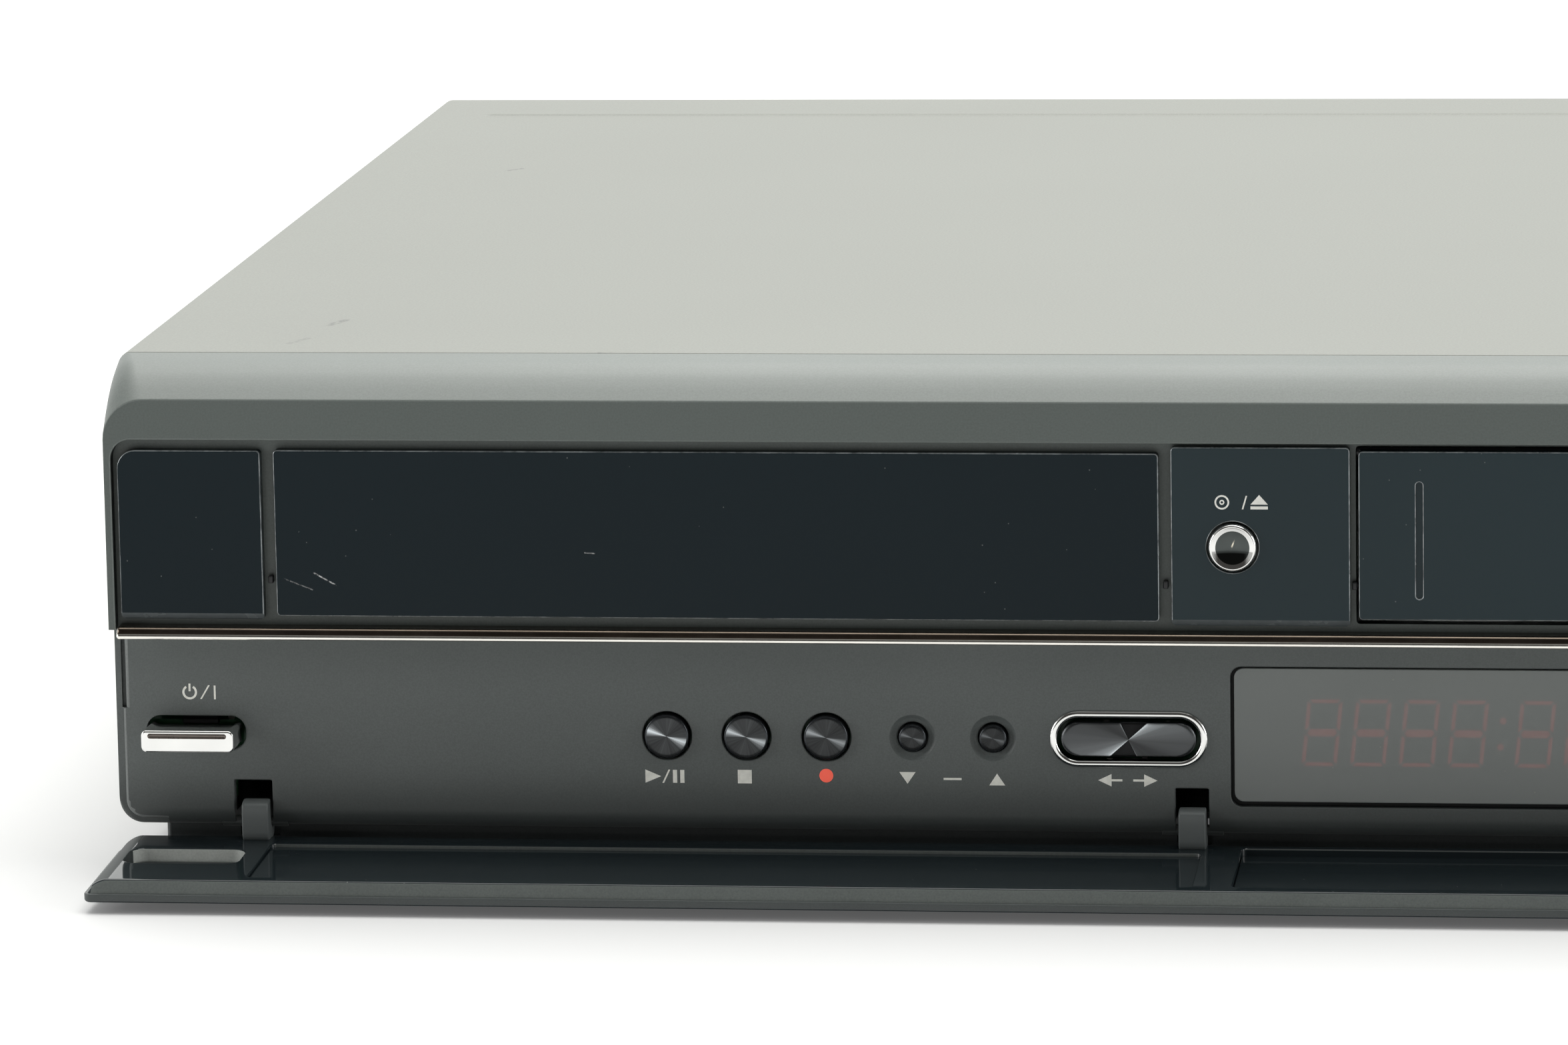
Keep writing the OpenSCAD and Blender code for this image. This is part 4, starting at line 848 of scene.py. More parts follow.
def front_panel():
    def ring(y, inset, lo, hi, low=None, n=12):
        """Outline at depth y between heights lo and hi; None keeps the real end."""
        zt = 81.4 + lerp(YC, ZT, y) - inset if hi is None else hi
        rt = max(lerp(YC, RT, y) - inset, 0.4) if hi is None else 0.02
        zb = 8.5 + (inset if low is None else low) if lo is None else lo
        rb = max(lerp(YC, RB, y) - inset, 0.4) if lo is None else 0.02
        return rr(-215 + inset, 215 - inset, zb, zt, (rb, rb, rt, rt), n)(0)

    def block(y0, edge, lo, hi):
        prof = [(y0 + edge - edge * math.cos(rad(a)), edge - edge * math.sin(rad(a)))
                for a in (0, 22.5, 45, 67.5, 90)]
        ys = [y for y in (0.8, 1.2, 1.7, 2.4, 3.2, 4.1, 4.4, 4.7, 5, 5.5, 6, 7, 8.2, 9.4, 10.6, 11.8, 13, 14)
              if y > y0 + edge + 0.2]
        prof += [(y, 0.0) for y in ys] + [(14.62, 0.0), (14.74, 0.06), (14.8, 0.2)]
        verts, faces, n = [], [], 0
        for y, g in prof:
            low = None
            if lo is None:                       # the fascia turns under along its bottom edge
                t = max(0.0, 1 - (y - y0) / 1.7)
                low = max(g, 3.0 * (1 - math.sqrt(max(0.0, 1 - t * t))))
            o = ring(y, g, lo, hi, low)
            n = len(o)
            verts += [(u, y, w) for u, w in o]
        for k in range(len(prof) - 1):
            for i in range(n):
                j = (i + 1) % n
                faces.append((k * n + i, k * n + j, (k + 1) * n + j, (k + 1) * n + i))
        faces.append(tuple(range(n - 1, -1, -1)))
        faces.append(tuple((len(prof) - 1) * n + i for i in range(n)))
        return verts, faces

    o = raw("front_panel", block(0.0, 0.17, 42.4, None))
    low = raw("fascia_block", block(3.3, 0.8, None, 42.9))
    bm = bmesh.new()
    bm.from_mesh(low.data)
    for s in (-1, 1):                        # the lower face falls away a little towards both ends
        for x in (203, 205, 206.5, 208, 209.5, 211, 212, 213, 213.6):
            g = list(bm.verts) + list(bm.edges) + list(bm.faces)
            bmesh.ops.bisect_plane(bm, geom=g, dist=1e-8, plane_co=P(s * x, 0, 0), plane_no=(1, 0, 0))
    for v in bm.verts:
        x, y = abs(v.co.x) * 1e3, v.co.y * 1e3 - SHIFT
        if x > 203 and y < 4.9:
            v.co.y += 0.8e-3 * ((x - 203) / 12) ** 2 * (4.9 - y) / 1.6
    bm.to_mesh(low.data)
    bm.free()
    vf = ([(v.co.x * 1e3, v.co.y * 1e3 - SHIFT, v.co.z * 1e3) for v in low.data.vertices],
          [tuple(q.vertices) for q in low.data.polygons])
    me_low = low.data
    bpy.data.objects.remove(low)
    bpy.data.meshes.remove(me_low)
    boolean(o, [vf], "UNION")
    # hollows behind the walls
    boolean(o, [box(-212.8, 212.8, 4.6, 15.5, 42.6, 79.9)])
    boolean(o, [box(-212.8, 212.8, 5.3, 15.5, 10.7, 42.7)])
    boolean(o, [box(-211, 211, 9.5, 15.5, 70, 84)])
    # recess for the plates
    boolean(o, [hole(rr(-213.8, 213.8, 41.0, 74.6, (0.4, 0.4, 3.4, 3.4), 10), 0.0, 2.4, 0.35, k=4)])
    # windows, holes, seats
    cuts = [
        hole(rr(DX - 67.4, DX + 67.4, 48.6, 66.6, 0.5), 2.4, 5.6, 0.2, out=0.6),
        hole(rr(TX - 96.9, TX + 96.9, 44.5, 73.9, 0.5), 2.4, 5.6, 0.2, out=0.6),
        hole(circ(-27.2, 57.4, 3.72), 2.4, 6, 0.1, out=0.6),
        hole(circ(200.7, 57.4, 3.72), 2.4, 6, 0.1, out=0.6),
        hole(rr(-209.8, -192.9, 21.5, 27.2, 2.5, 10), 3.3, 6.5, 0.35, k=4),
        hole(rr(-57.0, -32.6, 20.65, 28.45, 3.88, 12), 3.3, 6.5, 0.05),
    ]
    cuts += [hole(circ(x, 24.5, 4.1), 3.3, 6.5, 0.22, k=4) for x in (-121.7, -108.4, -95.05)]
    for x in (-80.7, -67.3):
        f = circ(x, 24.5, 2.6)
        cuts.append(stack(f, [(1.5, 1.35), (3.3, 1.35), (3.34, 1.22), (3.42, 1.12), (3.75, 0.62),
                              (3.86, 0.40), (3.92, 0.12), (4.02, 0.0), (6.5, 0.0)]))
    cuts += [hole(circ(x, 24.5, 5.2, 48), 3.3, 6.5, 0.25) for x in (112, 126, 140)]
    cuts.append(hole(circ(156, 24.5, 5.6, 48), 3.3, 6.5, 0.25))
    cuts.append(hole(rr(-27.95, 70.25, 13.3, 36.85, 1.8, 8), 3.3, 4.62, 0.22, k=4))
    boolean(o, cuts)
    boolean(o, [hole(rr(-25.5, 67.8, 16.2, 34.4, 1.0), 4.62, 7, 0.15, out=0.4)])
    # slots for the door arms
    boolean(o, [hole(rr(a, b, 5.0, 16.3, (0.1, 0.1, 0.3, 0.3), 4), 3.3, 16, 0.22) for a, b in SLOTS])
    # bores for hinge pins and flap trunnions
    bores = [stack(circ(5.0, 9.0, 0.92, 20), [(a - 2.35, 0), (a + 0.5, 0)], "x") for a, b in SLOTS]
    bores += [stack(circ(5.0, 9.0, 0.92, 20), [(b - 0.5, 0), (b + 2.35, 0)], "x") for a, b in SLOTS]
    bores += [stack(circ(3.4, 72.9, 0.88, 20), [(TX + s * 96 - 3.3, 0), (TX + s * 96 + 3.3, 0)], "x") for s in (-1, 1)]
    boolean(o, bores)
    # step between the rim and the fascia, open as a narrow slot in its upper half
    def face_y(x, z):
        y = 3.3 if z > 11.5 else 3.3 + 1.7 * (1 - math.sqrt(max(0.0, 1 - (1 - (z - 8.5) / 3.0) ** 2)))
        return y + (0.8 * ((abs(x) - 203) / 12) ** 2 if abs(x) > 203 and z > 11.5 else
                    0.8 * ((abs(x) - 203) / 12) ** 2 * max(0.0, (4.9 - y) / 1.6) if abs(x) > 203 else 0)

    def sweep(path, sec):
        V, F, m = [], [], len(sec)
        for x, z, nx, nz in path:
            V += [(x + nx * o, face_y(x, z) + d, z + nz * o) for o, d in sec]
        for k in range(len(path) - 1):
            for i in range(m):
                j = (i + 1) % m
                F.append((k * m + i, k * m + j, (k + 1) * m + j, (k + 1) * m + i))
        F.append(tuple(range(m - 1, -1, -1)))
        F.append(tuple((len(path) - 1) * m + i for i in range(m)))
        return V, F
    cuts = []
    for s in (-1, 1):
        path = [(s * 213.75, z, s, 0) for z in (28.3, 24, 20, 17, 15, 14, 13.2)]
        for a in range(0, 91, 10):
            c, q = math.cos(rad(a)), math.sin(rad(a))
            path.append((s * (210.7 + 3.05 * c), 12.6 - 3.05 * q, s * c, -q))
        path += [(s * 208.6, 9.55, 0, -1), (s * 206.5, 9.5, 0, -1)]
        cuts.append(sweep(path, [(2.2, -1.2), (-0.46, -1.2), (-0.46, -0.02), (-0.28, 0.02), (-0.11, 0.13), (0.0, 0.34), (2.2, 0.42)]))
    boolean(o, cuts)
    cuts = []
    for s in (-1, 1):
        path = [(s * 213.22, z, s, 0) for z in (28.4, 32, 36, 40, 42)]
        cuts.append(sweep(path, [(0.72, -1.2), (-0.60, -1.2), (-0.60, -0.02), (-0.38, 0.02), (-0.16, 0.12), (0.0, 0.36),
                                 (0.02, 1.3), (0.70, 1.3)]))
        path = [(s * 213.9, z, s, 0) for z in (28.2, 32, 36, 40, 42)]
        cuts.append(sweep(path, [(2.2, -1.2), (-0.2, -1.2), (-0.2, 0.12), (0.0, 0.3), (2.2, 0.42)]))
    boolean(o, cuts[::2])
    boolean(o, cuts[1::2])

    def rule(x, y, z, n):
        ax = abs(x)
        if z < 42.5 and 3.25 < y < 5.2 and n.y < -0.1:       # painted highlight: lighter plastic on the moulded edge along the rim
            d = math.hypot(ax - 210.7, z - 12.6) if ax > 210.7 and z < 12.6 else 0
            if (z > 12.6 and 212.55 < ax < 213.8 and abs(n.x) > 0.12) or 2.5 < d < 3.1 or \
                    (207 < ax <= 210.7 and 9.5 < z < 10.05 and n.z < -0.12):
                return 3
        # painted shade: the bezel's forward faces take the darker copy
        if 43 < z < 80 and y < 3.2 and n.y < -0.93:
            return 5
        # painted shade: the display seat's floor takes the near-black recess colour
        if y > 4.3 and -28.3 < x < 70.6 and 12.8 < z < 37.3 and n.y < -0.5:
            return 2
        if z < 42.95 and y > 3.25:
            return 1 if y < 14 and abs(x) < 214.9 else 0
        # painted shade: the recess behind the plates takes the near-black recess colour
        if 0.6 < y < 14 and 41 < z < 75.2 and abs(x) < 214.2:
            return 2
        return 0
    return place(o, [front_mat, fascia_mat, recess_shade_mat, rim_highlight_mat, crease_highlight_mat, bezel_shaded_mat], "casing", "front_plastic",
                 ("front_bezel",), sharp=35, rule=rule)


front_panel()


def skirt():
    f = rr(-208, 208, 8.8, 10.8, 0.9, 6)
    o = raw("front_skirt", stack(f, [(3.0, -0.15), (3.15, 0), (8.6, 0)], "z"))
    boolean(o, [hole(rr(a - 0.2, b + 0.2, 5.6, 9.6, 0.3), 8.0, 9.8, 0.1) for a, b in SLOTS])
    return place(o, [door_mat], "casing", "front_plastic", sharp=40)


skirt()


def strip():
    sec = [(3.2, 43.08), (-0.55, 43.1), (-0.85, 43.06), (-1.05, 42.96), (-1.18, 42.82),
           (-1.26, 42.7), (-1.36, 42.45), (-1.50, 42.16), (-1.60, 42.0), (-1.68, 41.9),
           (-1.73, 41.78), (-1.75, 41.6), (-1.74, 41.4), (-1.66, 41.24), (-1.5, 41.14),
           (-1.25, 41.1), (3.2, 41.12)]
    f = poly(sec)
    h = 213.4
    prof = [(-h, -0.55), (-h + 0.06, -0.33), (-h + 0.2, -0.14), (-h + 0.42, -0.03), (-h + 0.7, 0)]
    prof += [(-h + 20 + k * (2 * h - 40) / 12, 0) for k in range(13)]
    prof += [(-d, g) for d, g in reversed(prof[:5])]
    o = raw("chrome_trim", stack(f, prof, "x"))
    # the strip's upper faces take the darker painted-reflection chrome
    return place(o, [strip_mat, strip_upper_dark_reflection], "casing", "chrome", ("chrome_strip",), sharp=32,
                 rule=lambda x, y, z, n: 1 if z > 42.0 and abs(x) < 213.2 else 0)


strip()

# gloss plates in the recess
def edge_rule(x, y, z, n):
    if y > 1.2:
        return 0
    # painted reflection: the downward-facing lip faces take the lighter lip colour
    if n.y < -0.3 and n.z < -0.5 and z > 44.25 and z < 45.3:
        return 2
    # painted highlight: the rounded edge faces take the light edge colour
    return 1 if abs(n.y) < 0.955 else 0


def bottom_lip(x0, x1):
    """Wedge that leaves a sloping lip along the bottom edge."""
    return stack(poly([(-1.2, 43.2), (-1.2, 45.32), (0.3, 45.3), (1.25, 44.28), (1.25, 43.2)]),
                 [(x0 - 1, 0), (x1 + 1, 0)], "x")


o = raw("left_plate", slab(rr(-212.8, -188.6, 44.2, 72.8, (0.7, 0.7, 0.7, 3.1), 10), 0.3, 2.38, 0.28))
boolean(o, [bottom_lip(-212.8, -188.6)])
place(o, [gloss_mat, edge_highlight_mat, lip_reflection_mat], "casing", "gloss_black", ("left_trim_plate",), sharp=20, rule=edge_rule)
o = raw("eject_plate", slab(rr(-37.3, -8.0, 44.2, 74.0, 0.7, 5), 0.3, 2.38, 0.28))
boolean(o, [hole(circ(-27.2, 57.4, 4.3), 0.3, 4, 0.22, k=4), bottom_lip(-37.3, -8.0)])
place(o, [gloss_right_painted_sheen, edge_highlight_mat, lip_reflection_mat], "casing", "gloss_black", ("eject_trim_plate",), sharp=20, rule=edge_rule)
o = raw("right_plate", slab(rr(188.6, 212.8, 44.2, 72.8, (0.7, 0.7, 3.1, 0.7), 10), 0.3, 2.38, 0.28))
boolean(o, [hole(circ(200.7, 57.4, 4.3), 0.3, 4, 0.22, k=4), bottom_lip(188.6, 212.8)])
place(o, [gloss_right_painted_sheen, edge_highlight_mat, lip_reflection_mat], "casing", "gloss_black", ("right_trim_plate",), sharp=20, rule=edge_rule)
piece("tray_front", slab(rr(-186.4, -39.3, 44.9, 72.9, 0.7, 5), 0.3, 2.385, 0.28),
      [gloss_mat, edge_highlight_mat, edge_highlight_mat], "tray", "gloss_black", ("tray_cover",), sharp=20, rule=edge_rule)


pads = [slab(rr(x - 0.42, x + 0.42, 50.2, 51.5, 0.2, 4), 1.25, 2.39, 0.2) for x in (-187.5, -38.3, -7.3, 187.5)]
piece("gap_rest_pads", merge(*pads), [mech_mat], "casing", "mech_plastic")


def flap():
    o = raw("cassette_flap", slab(rr(-6.6, 186.4, 45.4, 73.4, 0.7, 5), 0.3, 2.38, 0.28))
    extra = [box(TX - 96.4, TX + 96.4, 2.2, 3.88, 71.95, 73.35)]
    extra += [box(TX + k * 28 - 0.6, TX + k * 28 + 0.6, 2.2, 3.2, 46.5, 71.6) for k in range(-3, 4)]
    boolean(o, extra, "UNION")
    boolean(o, [stack(circ(3.4, 72.9, 0.79, 20), [(TX - 98.7, -0.1), (TX - 98.6, 0), (TX + 98.6, 0), (TX + 98.7, -0.1)], "x")], "UNION")
    boolean(o, [hole(rr(2.75, 3.85, 48.95, 68.35, 0.54, 8), 0.3, 0.8, 0.26, k=4)])
    return place(o, [gloss_right_painted_sheen, edge_highlight_mat, edge_highlight_mat, mech_mat], "flap", "gloss_black", ("vcr_flap",), sharp=20,
                 rule=lambda x, y, z, n: 3 if y > 2.39 else edge_rule(x, y, z, n))


flap()


# --------------------------------------------------------------------------
# display window and its digits
# --------------------------------------------------------------------------
piece("display_pane", slab(rr(-27.35, 70.0, 14.15, 36.6, 1.6, 8), 3.4, 4.6, 0.14, 0.1),
      [window_mat], "casing", "smoked_window", ("display_window",))


def digits():
    parts = []

    def seg(cx, cz, pts):
        pr = [(cx + x + (z * 0.10), cz + z) for x, z in pts]
        parts.append(stack(poly(pr), [(5.30, 0), (5.385, 0)]))
    W, H, t = 2.9, 5.6, 0.62
    for cx in (-13, -5, 3, 11, 22, 30, 41, 49):
        cz = 25.5
        for z in (H, 0, -H):
            seg(cx, cz, [(-W + 0.4, z), (-W + 0.9, z + t * (z <= 0) + 0.0001), (W - 0.9, z + t * (z <= 0) + 0.0001),
                         (W - 0.4, z), (W - 0.9, z - t * (z >= 0) - 0.0001), (-W + 0.9, z - t * (z >= 0) - 0.0001)])
        for s in (-1, 1):
            for a, b in ((0.35, H - 0.35), (-H + 0.35, -0.35)):
                x = s * W
                seg(cx, cz, [(x, a), (x - s * t, a + 0.5), (x - s * t, b - 0.5), (x, b), (x + 0.02 * s, (a + b) / 2)])
    for cx in (16.5, 35.5):
        for z in (-2.2, 2.2):
            parts.append(stack(circ(cx + z * 0.1, 25.5 + z, 0.55, 20), [(5.30, 0), (5.385, 0)]))
    return piece("display_digits", merge(*parts), [segment_mat], "casing", "display_glass", wn=False)


digits()


# --------------------------------------------------------------------------
# flip-down door, lying open
# --------------------------------------------------------------------------
DOOR = rr(-215, 215, -26.85, 5.5, (1.3, 1.3, 3.6, 3.6), 10)


def droop(o):
    """The open door hangs 1.5 degrees past level, turned about its pins."""
    p = P(0, 5, 9)
    o.data.transform(Matrix.Translation(p) @ Matrix.Rotation(rad(1.5), 4, "X") @ Matrix.Translation(-p))
    return o


def door():
    prof = [(4.2, -0.45), (6.05, -1.02), (6.28, -1.12), (6.42, -1.26), (6.49, -1.44), (6.5, -1.62)]
    o = raw("door_frame_inner", stack(DOOR, prof, "z"))
    bm = bmesh.new()
    bm.from_mesh(o.data)
    for s in (-1, 1):
        for x in (210.4, 211, 211.5, 212, 212.4, 212.8, 213.1):
            g = list(bm.verts) + list(bm.edges) + list(bm.faces)
            bmesh.ops.bisect_plane(bm, geom=g, dist=1e-8, plane_co=P(s * x, 0, 0), plane_no=(1, 0, 0))
    for v in bm.verts:
        x = abs(v.co.x) * 1e3
        z = v.co.z * 1e3
        if x > 210.8 and z > 5.9:
            v.co.z -= 0.85e-3 * ((x - 210.8) / 2.6) ** 2
    bm.to_mesh(o.data)
    bm.free()
    boolean(o, [
        hole_up(rr(-188.2, -32.6, -23.4, -1.0, 1.0), 6.5, 5.4, 0.2),
        hole_up(rr(88.0, 188.2, -23.4, -1.0, 1.0), 6.5, 5.4, 0.2),
        hole_up(rr(-26.2, 69.6, -22.9, 2.6, 1.0), 6.5, 3.5, 0.25),
        hole_up(rr(-211.0, -191.6, -14.7, -4.8, 2.6, 10), 6.5, 3.5, 0.3),
    ])
    def rule(x, y, z, n):
        if abs(x) > 210.7 and (abs(n.x) > 0.08 or z < 6.49 and n.z > 0.5) and y > -24.5:
            return 3
        # painted shade: the frame's upward faces take the dark gloss
        if n.z > 0.6 or (y > -2.9 and z > 4.3 and n.y > 0.5):
            return 0
        # painted light: the walls of the hole under the power button take the light grey
        if -211.3 < x < -191.3 and -15.1 < y < -4.4:
            return 2
        if y > -24 and abs(x) < 190 and (abs(n.x) > 0.4 or z < 5.6 and y > 0):
            return 0
        return 1
    droop(place(o, [door_top_gloss_and_shade, door_front, door_wall_lit, door_end], "door", "front_plastic", ("door_frame",), sharp=28,
                rule=rule))
    for name, a, b in (("door_inlay_left", -188.1, -32.7), ("door_inlay_right", 88.1, 188.1)):
        droop(piece(name, slab(rr(a, b, -23.3, -1.1, 0.9), 5.385, 5.95, 0.03, 0.05, "z"),
                    [door_top_gloss_and_shade], "door", "gloss_black"))
    # raised clear patch of the outer panel that fills the opening over the display
    droop(piece("door_window_patch", slab(rr(-26.1, 69.5, -22.8, 2.5, 0.9), 4.15, 5.25, 0.05, 0.08, "z"),
                [door_top_gloss_and_shade], "door", "gloss_black"))
    # arms: rounded fingers that reach up into the slots
    prof2 = chaikin([(1.2, 5.9), (1.2, 9.0), (1.2, 12.05), (1.6, 12.75), (2.9, 13.15), (4.2, 13.08), (5.6, 12.5),
                     (6.7, 11.5), (7.1, 10.2), (6.9, 8.0), (6.4, 5.9)], 2)
    for k, (a, b) in enumerate(SLOTS):
        x0, x1 = b - 4.95, b - 0.45
        f = poly(prof2)
        arm = raw("door_arm_%d" % (k + 1), stack(f, [(x0, -0.32), (x0 + 0.1, -0.12), (x0 + 0.32, 0),
                                                   (x1 - 0.32, 0), (x1 - 0.1, -0.12), (x1, -0.32)], "x"))
        boolean(arm, [stack(circ(5.0, 9.0, 0.96, 24), [(a - 1, 0), (b + 1, 0)], "x")])
        droop(place(arm, [arm_mat], "door", "front_plastic", sharp=35))
    # outer panel
    prof3 = [(2.7, -0.5), (2.73, -0.34), (2.82, -0.17), (2.96, -0.05), (3.15, 0), (4.0, 0), (4.12, -0.04), (4.19, -0.14)]
    p = raw("door_outer_panel", stack(DOOR, prof3, "z"))
    boolean(p, [stack(rr(-210.7, -191.9, -14.4, -5.1, 2.3, 10), [(1, 0.25), (2.7, 0.25), (2.8, 0.08), (2.95, 0), (5, 0)], "z")])
    droop(place(p, [gloss_mat, door_seam], "door", "gloss_black", ("door_panel",), sharp=35,
                rule=lambda x, y, z, n: 0 if z < 2.85 or n.z < -0.3 else 1))


def hole_up(f, z_top, z_bot, r, k=3):
    """Cutter entering from above with a rounded mouth at z_top."""
    prof = [(z_top + 1.5, r)]
    prof += [(z_top - r + r * math.cos(rad(90 * i / k)), r - r * math.sin(rad(90 * i / k)))
             for i in range(k + 1)]
    prof.append((z_bot, 0))
    return stack(f, prof, "z")


door()


# --------------------------------------------------------------------------
# buttons
# --------------------------------------------------------------------------
def round_button(node, x, r, y0, highlight_peak, base=44):
    prof = [(0, y0 + 0.16), (0.25, y0 + 0.155), (r * 0.4, y0 + 0.13), (r - 0.7, y0 + 0.09), (r - 0.42, y0 + 0.06),
            (r - 0.34, y0 + 0.015), (r - 0.27, y0), (r - 0.18, y0 + 0.03), (r - 0.09, y0 + 0.10),
            (r - 0.03, y0 + 0.20), (r, y0 + 0.34), (r, 5.2), (r - 0.1, 5.3), (1.3, 5.3), (1.3, 5.95), (0, 6.0)]
    o = raw(node + "_cap", lathe(x, 24.5, prof, 96))
    lim = r - 0.38
    # the face takes turned metal with painted highlight fans; the side stays plain dark metal
    return place(o, [spun_with_painted_fans("spun_" + node, x, 24.5, highlight_peak, base), spun_side], node, "dark_metal", (node,), sharp=30,
                 rule=lambda cx, cy, cz, n: 0 if math.hypot(cx - x, cz - 24.5) < lim and cy < y0 + 0.3 else 1)


# painted highlight: the last two numbers are the greys of the painted fans and of the disc between them
round_button("play_button", -121.7, 3.7, 2.4, 235, 56)
round_button("stop_button", -108.4, 3.7, 2.4, 205, 56)
round_button("record_button", -95.05, 3.7, 2.4, 165, 52)
round_button("prog_down_button", -80.7, 2.3, 2.9, 120, 50)
round_button("prog_up_button", -67.3, 2.3, 2.9, 110, 48)


def dubbing():
    cx, cz = -44.8, 24.55
    base = rr(-56.0, -33.6, 21.65, 27.45, 2.88, 14)(0)
    marks = [(-46.08, 27.45), (-41.8, 27.45), (-47.8, 21.65), (-43.4, 21.65)]
    ring = []
    n = len(base)
    for i, p in enumerate(base):
        q = base[(i + 1) % n]
        ring.append(p)
        if abs(p[1] - q[1]) < 1e-6:                      # a straight run: put in the marks
            here = [m for m in marks if abs(m[1] - p[1]) < 1e-6]
            xs = []
            for m in here:
                xs += [m[0] - 0.05, m[0] + 0.05]
            step = (q[0] - p[0]) / 10
            xs += [p[0] + step * k for k in range(1, 10) if all(abs(p[0] + step * k - m[0]) > 0.3 for m in here)]
            xs = sorted(xs, reverse=q[0] < p[0])
            ring += [(x, p[1]) for x in xs]

    def wedge(x, z):
        if z > 27.4:
            return -46.08 < x < -41.8
        if z < 21.7:
            return -47.8 < x < -43.4
        return False
    rings = []
    V, F = [(cx, 2.74, cz)], []
    for rho, base_y in ((0.06, 0), (0.3, 0), (0.55, 0), (0.8, 0), (0.90, 0.0), (0.93, 0.02),
                        (0.955, 0.08), (0.978, 0.2), (0.994, 0.36), (1.0, 0.55)):
        idx = []
        for x, z in ring:
            w = 0.36 * rho if wedge(x, z) else 0.0
            k = max(0.0, 1 - base_y / 0.55)
            idx.append(len(V))
            V.append((cx + (x - cx) * rho, 2.74 + w * k + base_y, cz + (z - cz) * rho))
        rings.append(idx)
    m = len(ring)
    for i in range(m):
        F.append((0, rings[0][i], rings[0][(i + 1) % m]))
    for a, b in zip(rings, rings[1:]):
        for i in range(m):
            j = (i + 1) % m
            F.append((a[i], a[j], b[j], b[i]))
    back = list(range(len(V), len(V) + m))
    V += [(x, 5.3, z) for x, z in ring]
    for i in range(m):
        j = (i + 1) % m
        F.append((rings[-1][i], rings[-1][j], back[j], back[i]))
    F.append(tuple(back))
    o = raw("dubbing_cap", merge((V, F), lathe(cx, cz, [(1.3, 5.25), (1.3, 5.95), (0, 6.0)], 32)))
    # painted highlight: the bright and dark sectors are the face's reflection, painted into the colour by angle
    pill_painted_highlight = Mat("spun_dubbing_button", (90, 94, 96), rough=0.26, metal=0.75, spec=0.5)
    pill_painted_highlight.paint_angle_highlight(cx, cz, [(0, 78), (20, 104), (37, 165), (41, 225), (42.3, 26), (75, 34), (115, 30),
                             (116.2, 150), (118.5, 62), (150, 52), (180, 78)], 0.12)
    return place(o, [pill_painted_highlight, spun_side], "dubbing_button", "dark_metal", ("dubbing_button",), sharp=18,
                 rule=lambda x, y, z, n: 0 if y < 3.14 and n.y < -0.6 else 1, wn=False)


dubbing()
piece("dubbing_bezel", stack(rr(-57.9, -31.7, 19.75, 29.35, 4.78, 14),
      [(3.3, 0), (3.1, -0.02), (2.93, -0.12), (2.81, -0.32), (2.75, -0.62), (2.79, -0.9), (2.92, -1.12),
       (3.12, -1.25), (3.4, -1.3), (4.7, -1.3), (4.7, -0.93), (3.3, -0.93)], loop=True),
      [chrome_mat], "casing", "chrome", ("dubbing_ring",), sharp=50)


def power_bar():
    o = raw("power_bar", merge(slab(rr(-209.15, -193.5, 22.5, 26.25, 0.95, 8), -4.5, 5.3, 0.36, 0.1, k=5),
                               lathe(-201.3, 24.4, [(1.3, 5.2), (1.3, 5.95), (0, 6.0)], 32)))
    boolean(o, [stack(rr(-207.95, -194.75, 24.95, 25.65, 0.34, 6), [(-6, 0.08), (-4.5, 0.08), (-4.46, 0.03), (-4.36, -0.02),
                                                                (-4.26, -0.12), (-4.22, -0.26)])])
    return place(o, [chrome_mat, bar_dark], "power_button", "chrome", ("power_button",), sharp=40,
                 rule=lambda x, y, z, n: 1 if y > -4.49 and y < -4.1 and -208.1 < x < -194.6 and 24.85 < z < 25.75 else 0)


power_bar()


def eject(node, x):
    prof = [(0, 0.30)]
    for r in (0.4, 0.8, 1.2, 1.6, 2.0, 2.4, 2.8, 3.1, 3.25):
        prof.append((r, -6.9 + math.sqrt(7.2 ** 2 - r * r)))
    prof += [(3.34, -0.52), (3.42, -0.57), (3.52, -0.6), (3.64, -0.57), (3.78, -0.47), (3.89, -0.3),
             (3.95, -0.1), (3.97, 0.1), (3.97, 0.8), (3.9, 0.9), (3.5, 0.9), (3.5, 5.0), (1.3, 5.0), (1.3, 5.95), (0, 6.0)]
    o = raw(node + "_cap", lathe(x, 57.4, prof, 96))
    return place(o, [chrome_mat, dish_mat], node, "chrome", (node,), sharp=40,
                 rule=lambda cx, cy, cz, n: 1 if math.hypot(cx - x, cz - 57.4) < 2.8 and cy < 0.6 else 0)


eject("dvd_eject_button", -27.2)
eject("vcr_eject_button", 200.7)


# --------------------------------------------------------------------------
# printed symbols, all generic
# --------------------------------------------------------------------------
def prism(points, y, t=0.03):
    return stack(poly(points), [(y - t, 0), (y + 0.01, 0)])


def rect(x0, x1, z0, z1):
    return [(x0, z0), (x1, z0), (x1, z1), (x0, z1)]


def ring_arc(cx, cz, r0, r1, a0, a1, y, n=40, t=0.03):
    V, F = [], []
    for i in range(n + 1):
        a = rad(a0 + (a1 - a0) * i / n)
        for r in (r0, r1):
            for d in (y - t, y + 0.01):
                V.append((cx + r * math.cos(a), d, cz + r * math.sin(a)))
    for i in range(n):
        b, c = i * 4, (i + 1) * 4
        F += [(b, b + 2, c + 2, c), (b + 1, c + 1, c + 3, b + 3), (b, c, c + 1, b + 1), (b + 2, b + 3, c + 3, c + 2)]
    if abs(a1 - a0) < 359.9:
        F += [(0, 1, 3, 2), (n * 4, n * 4 + 2, n * 4 + 3, n * 4 + 1)]
    return V, F


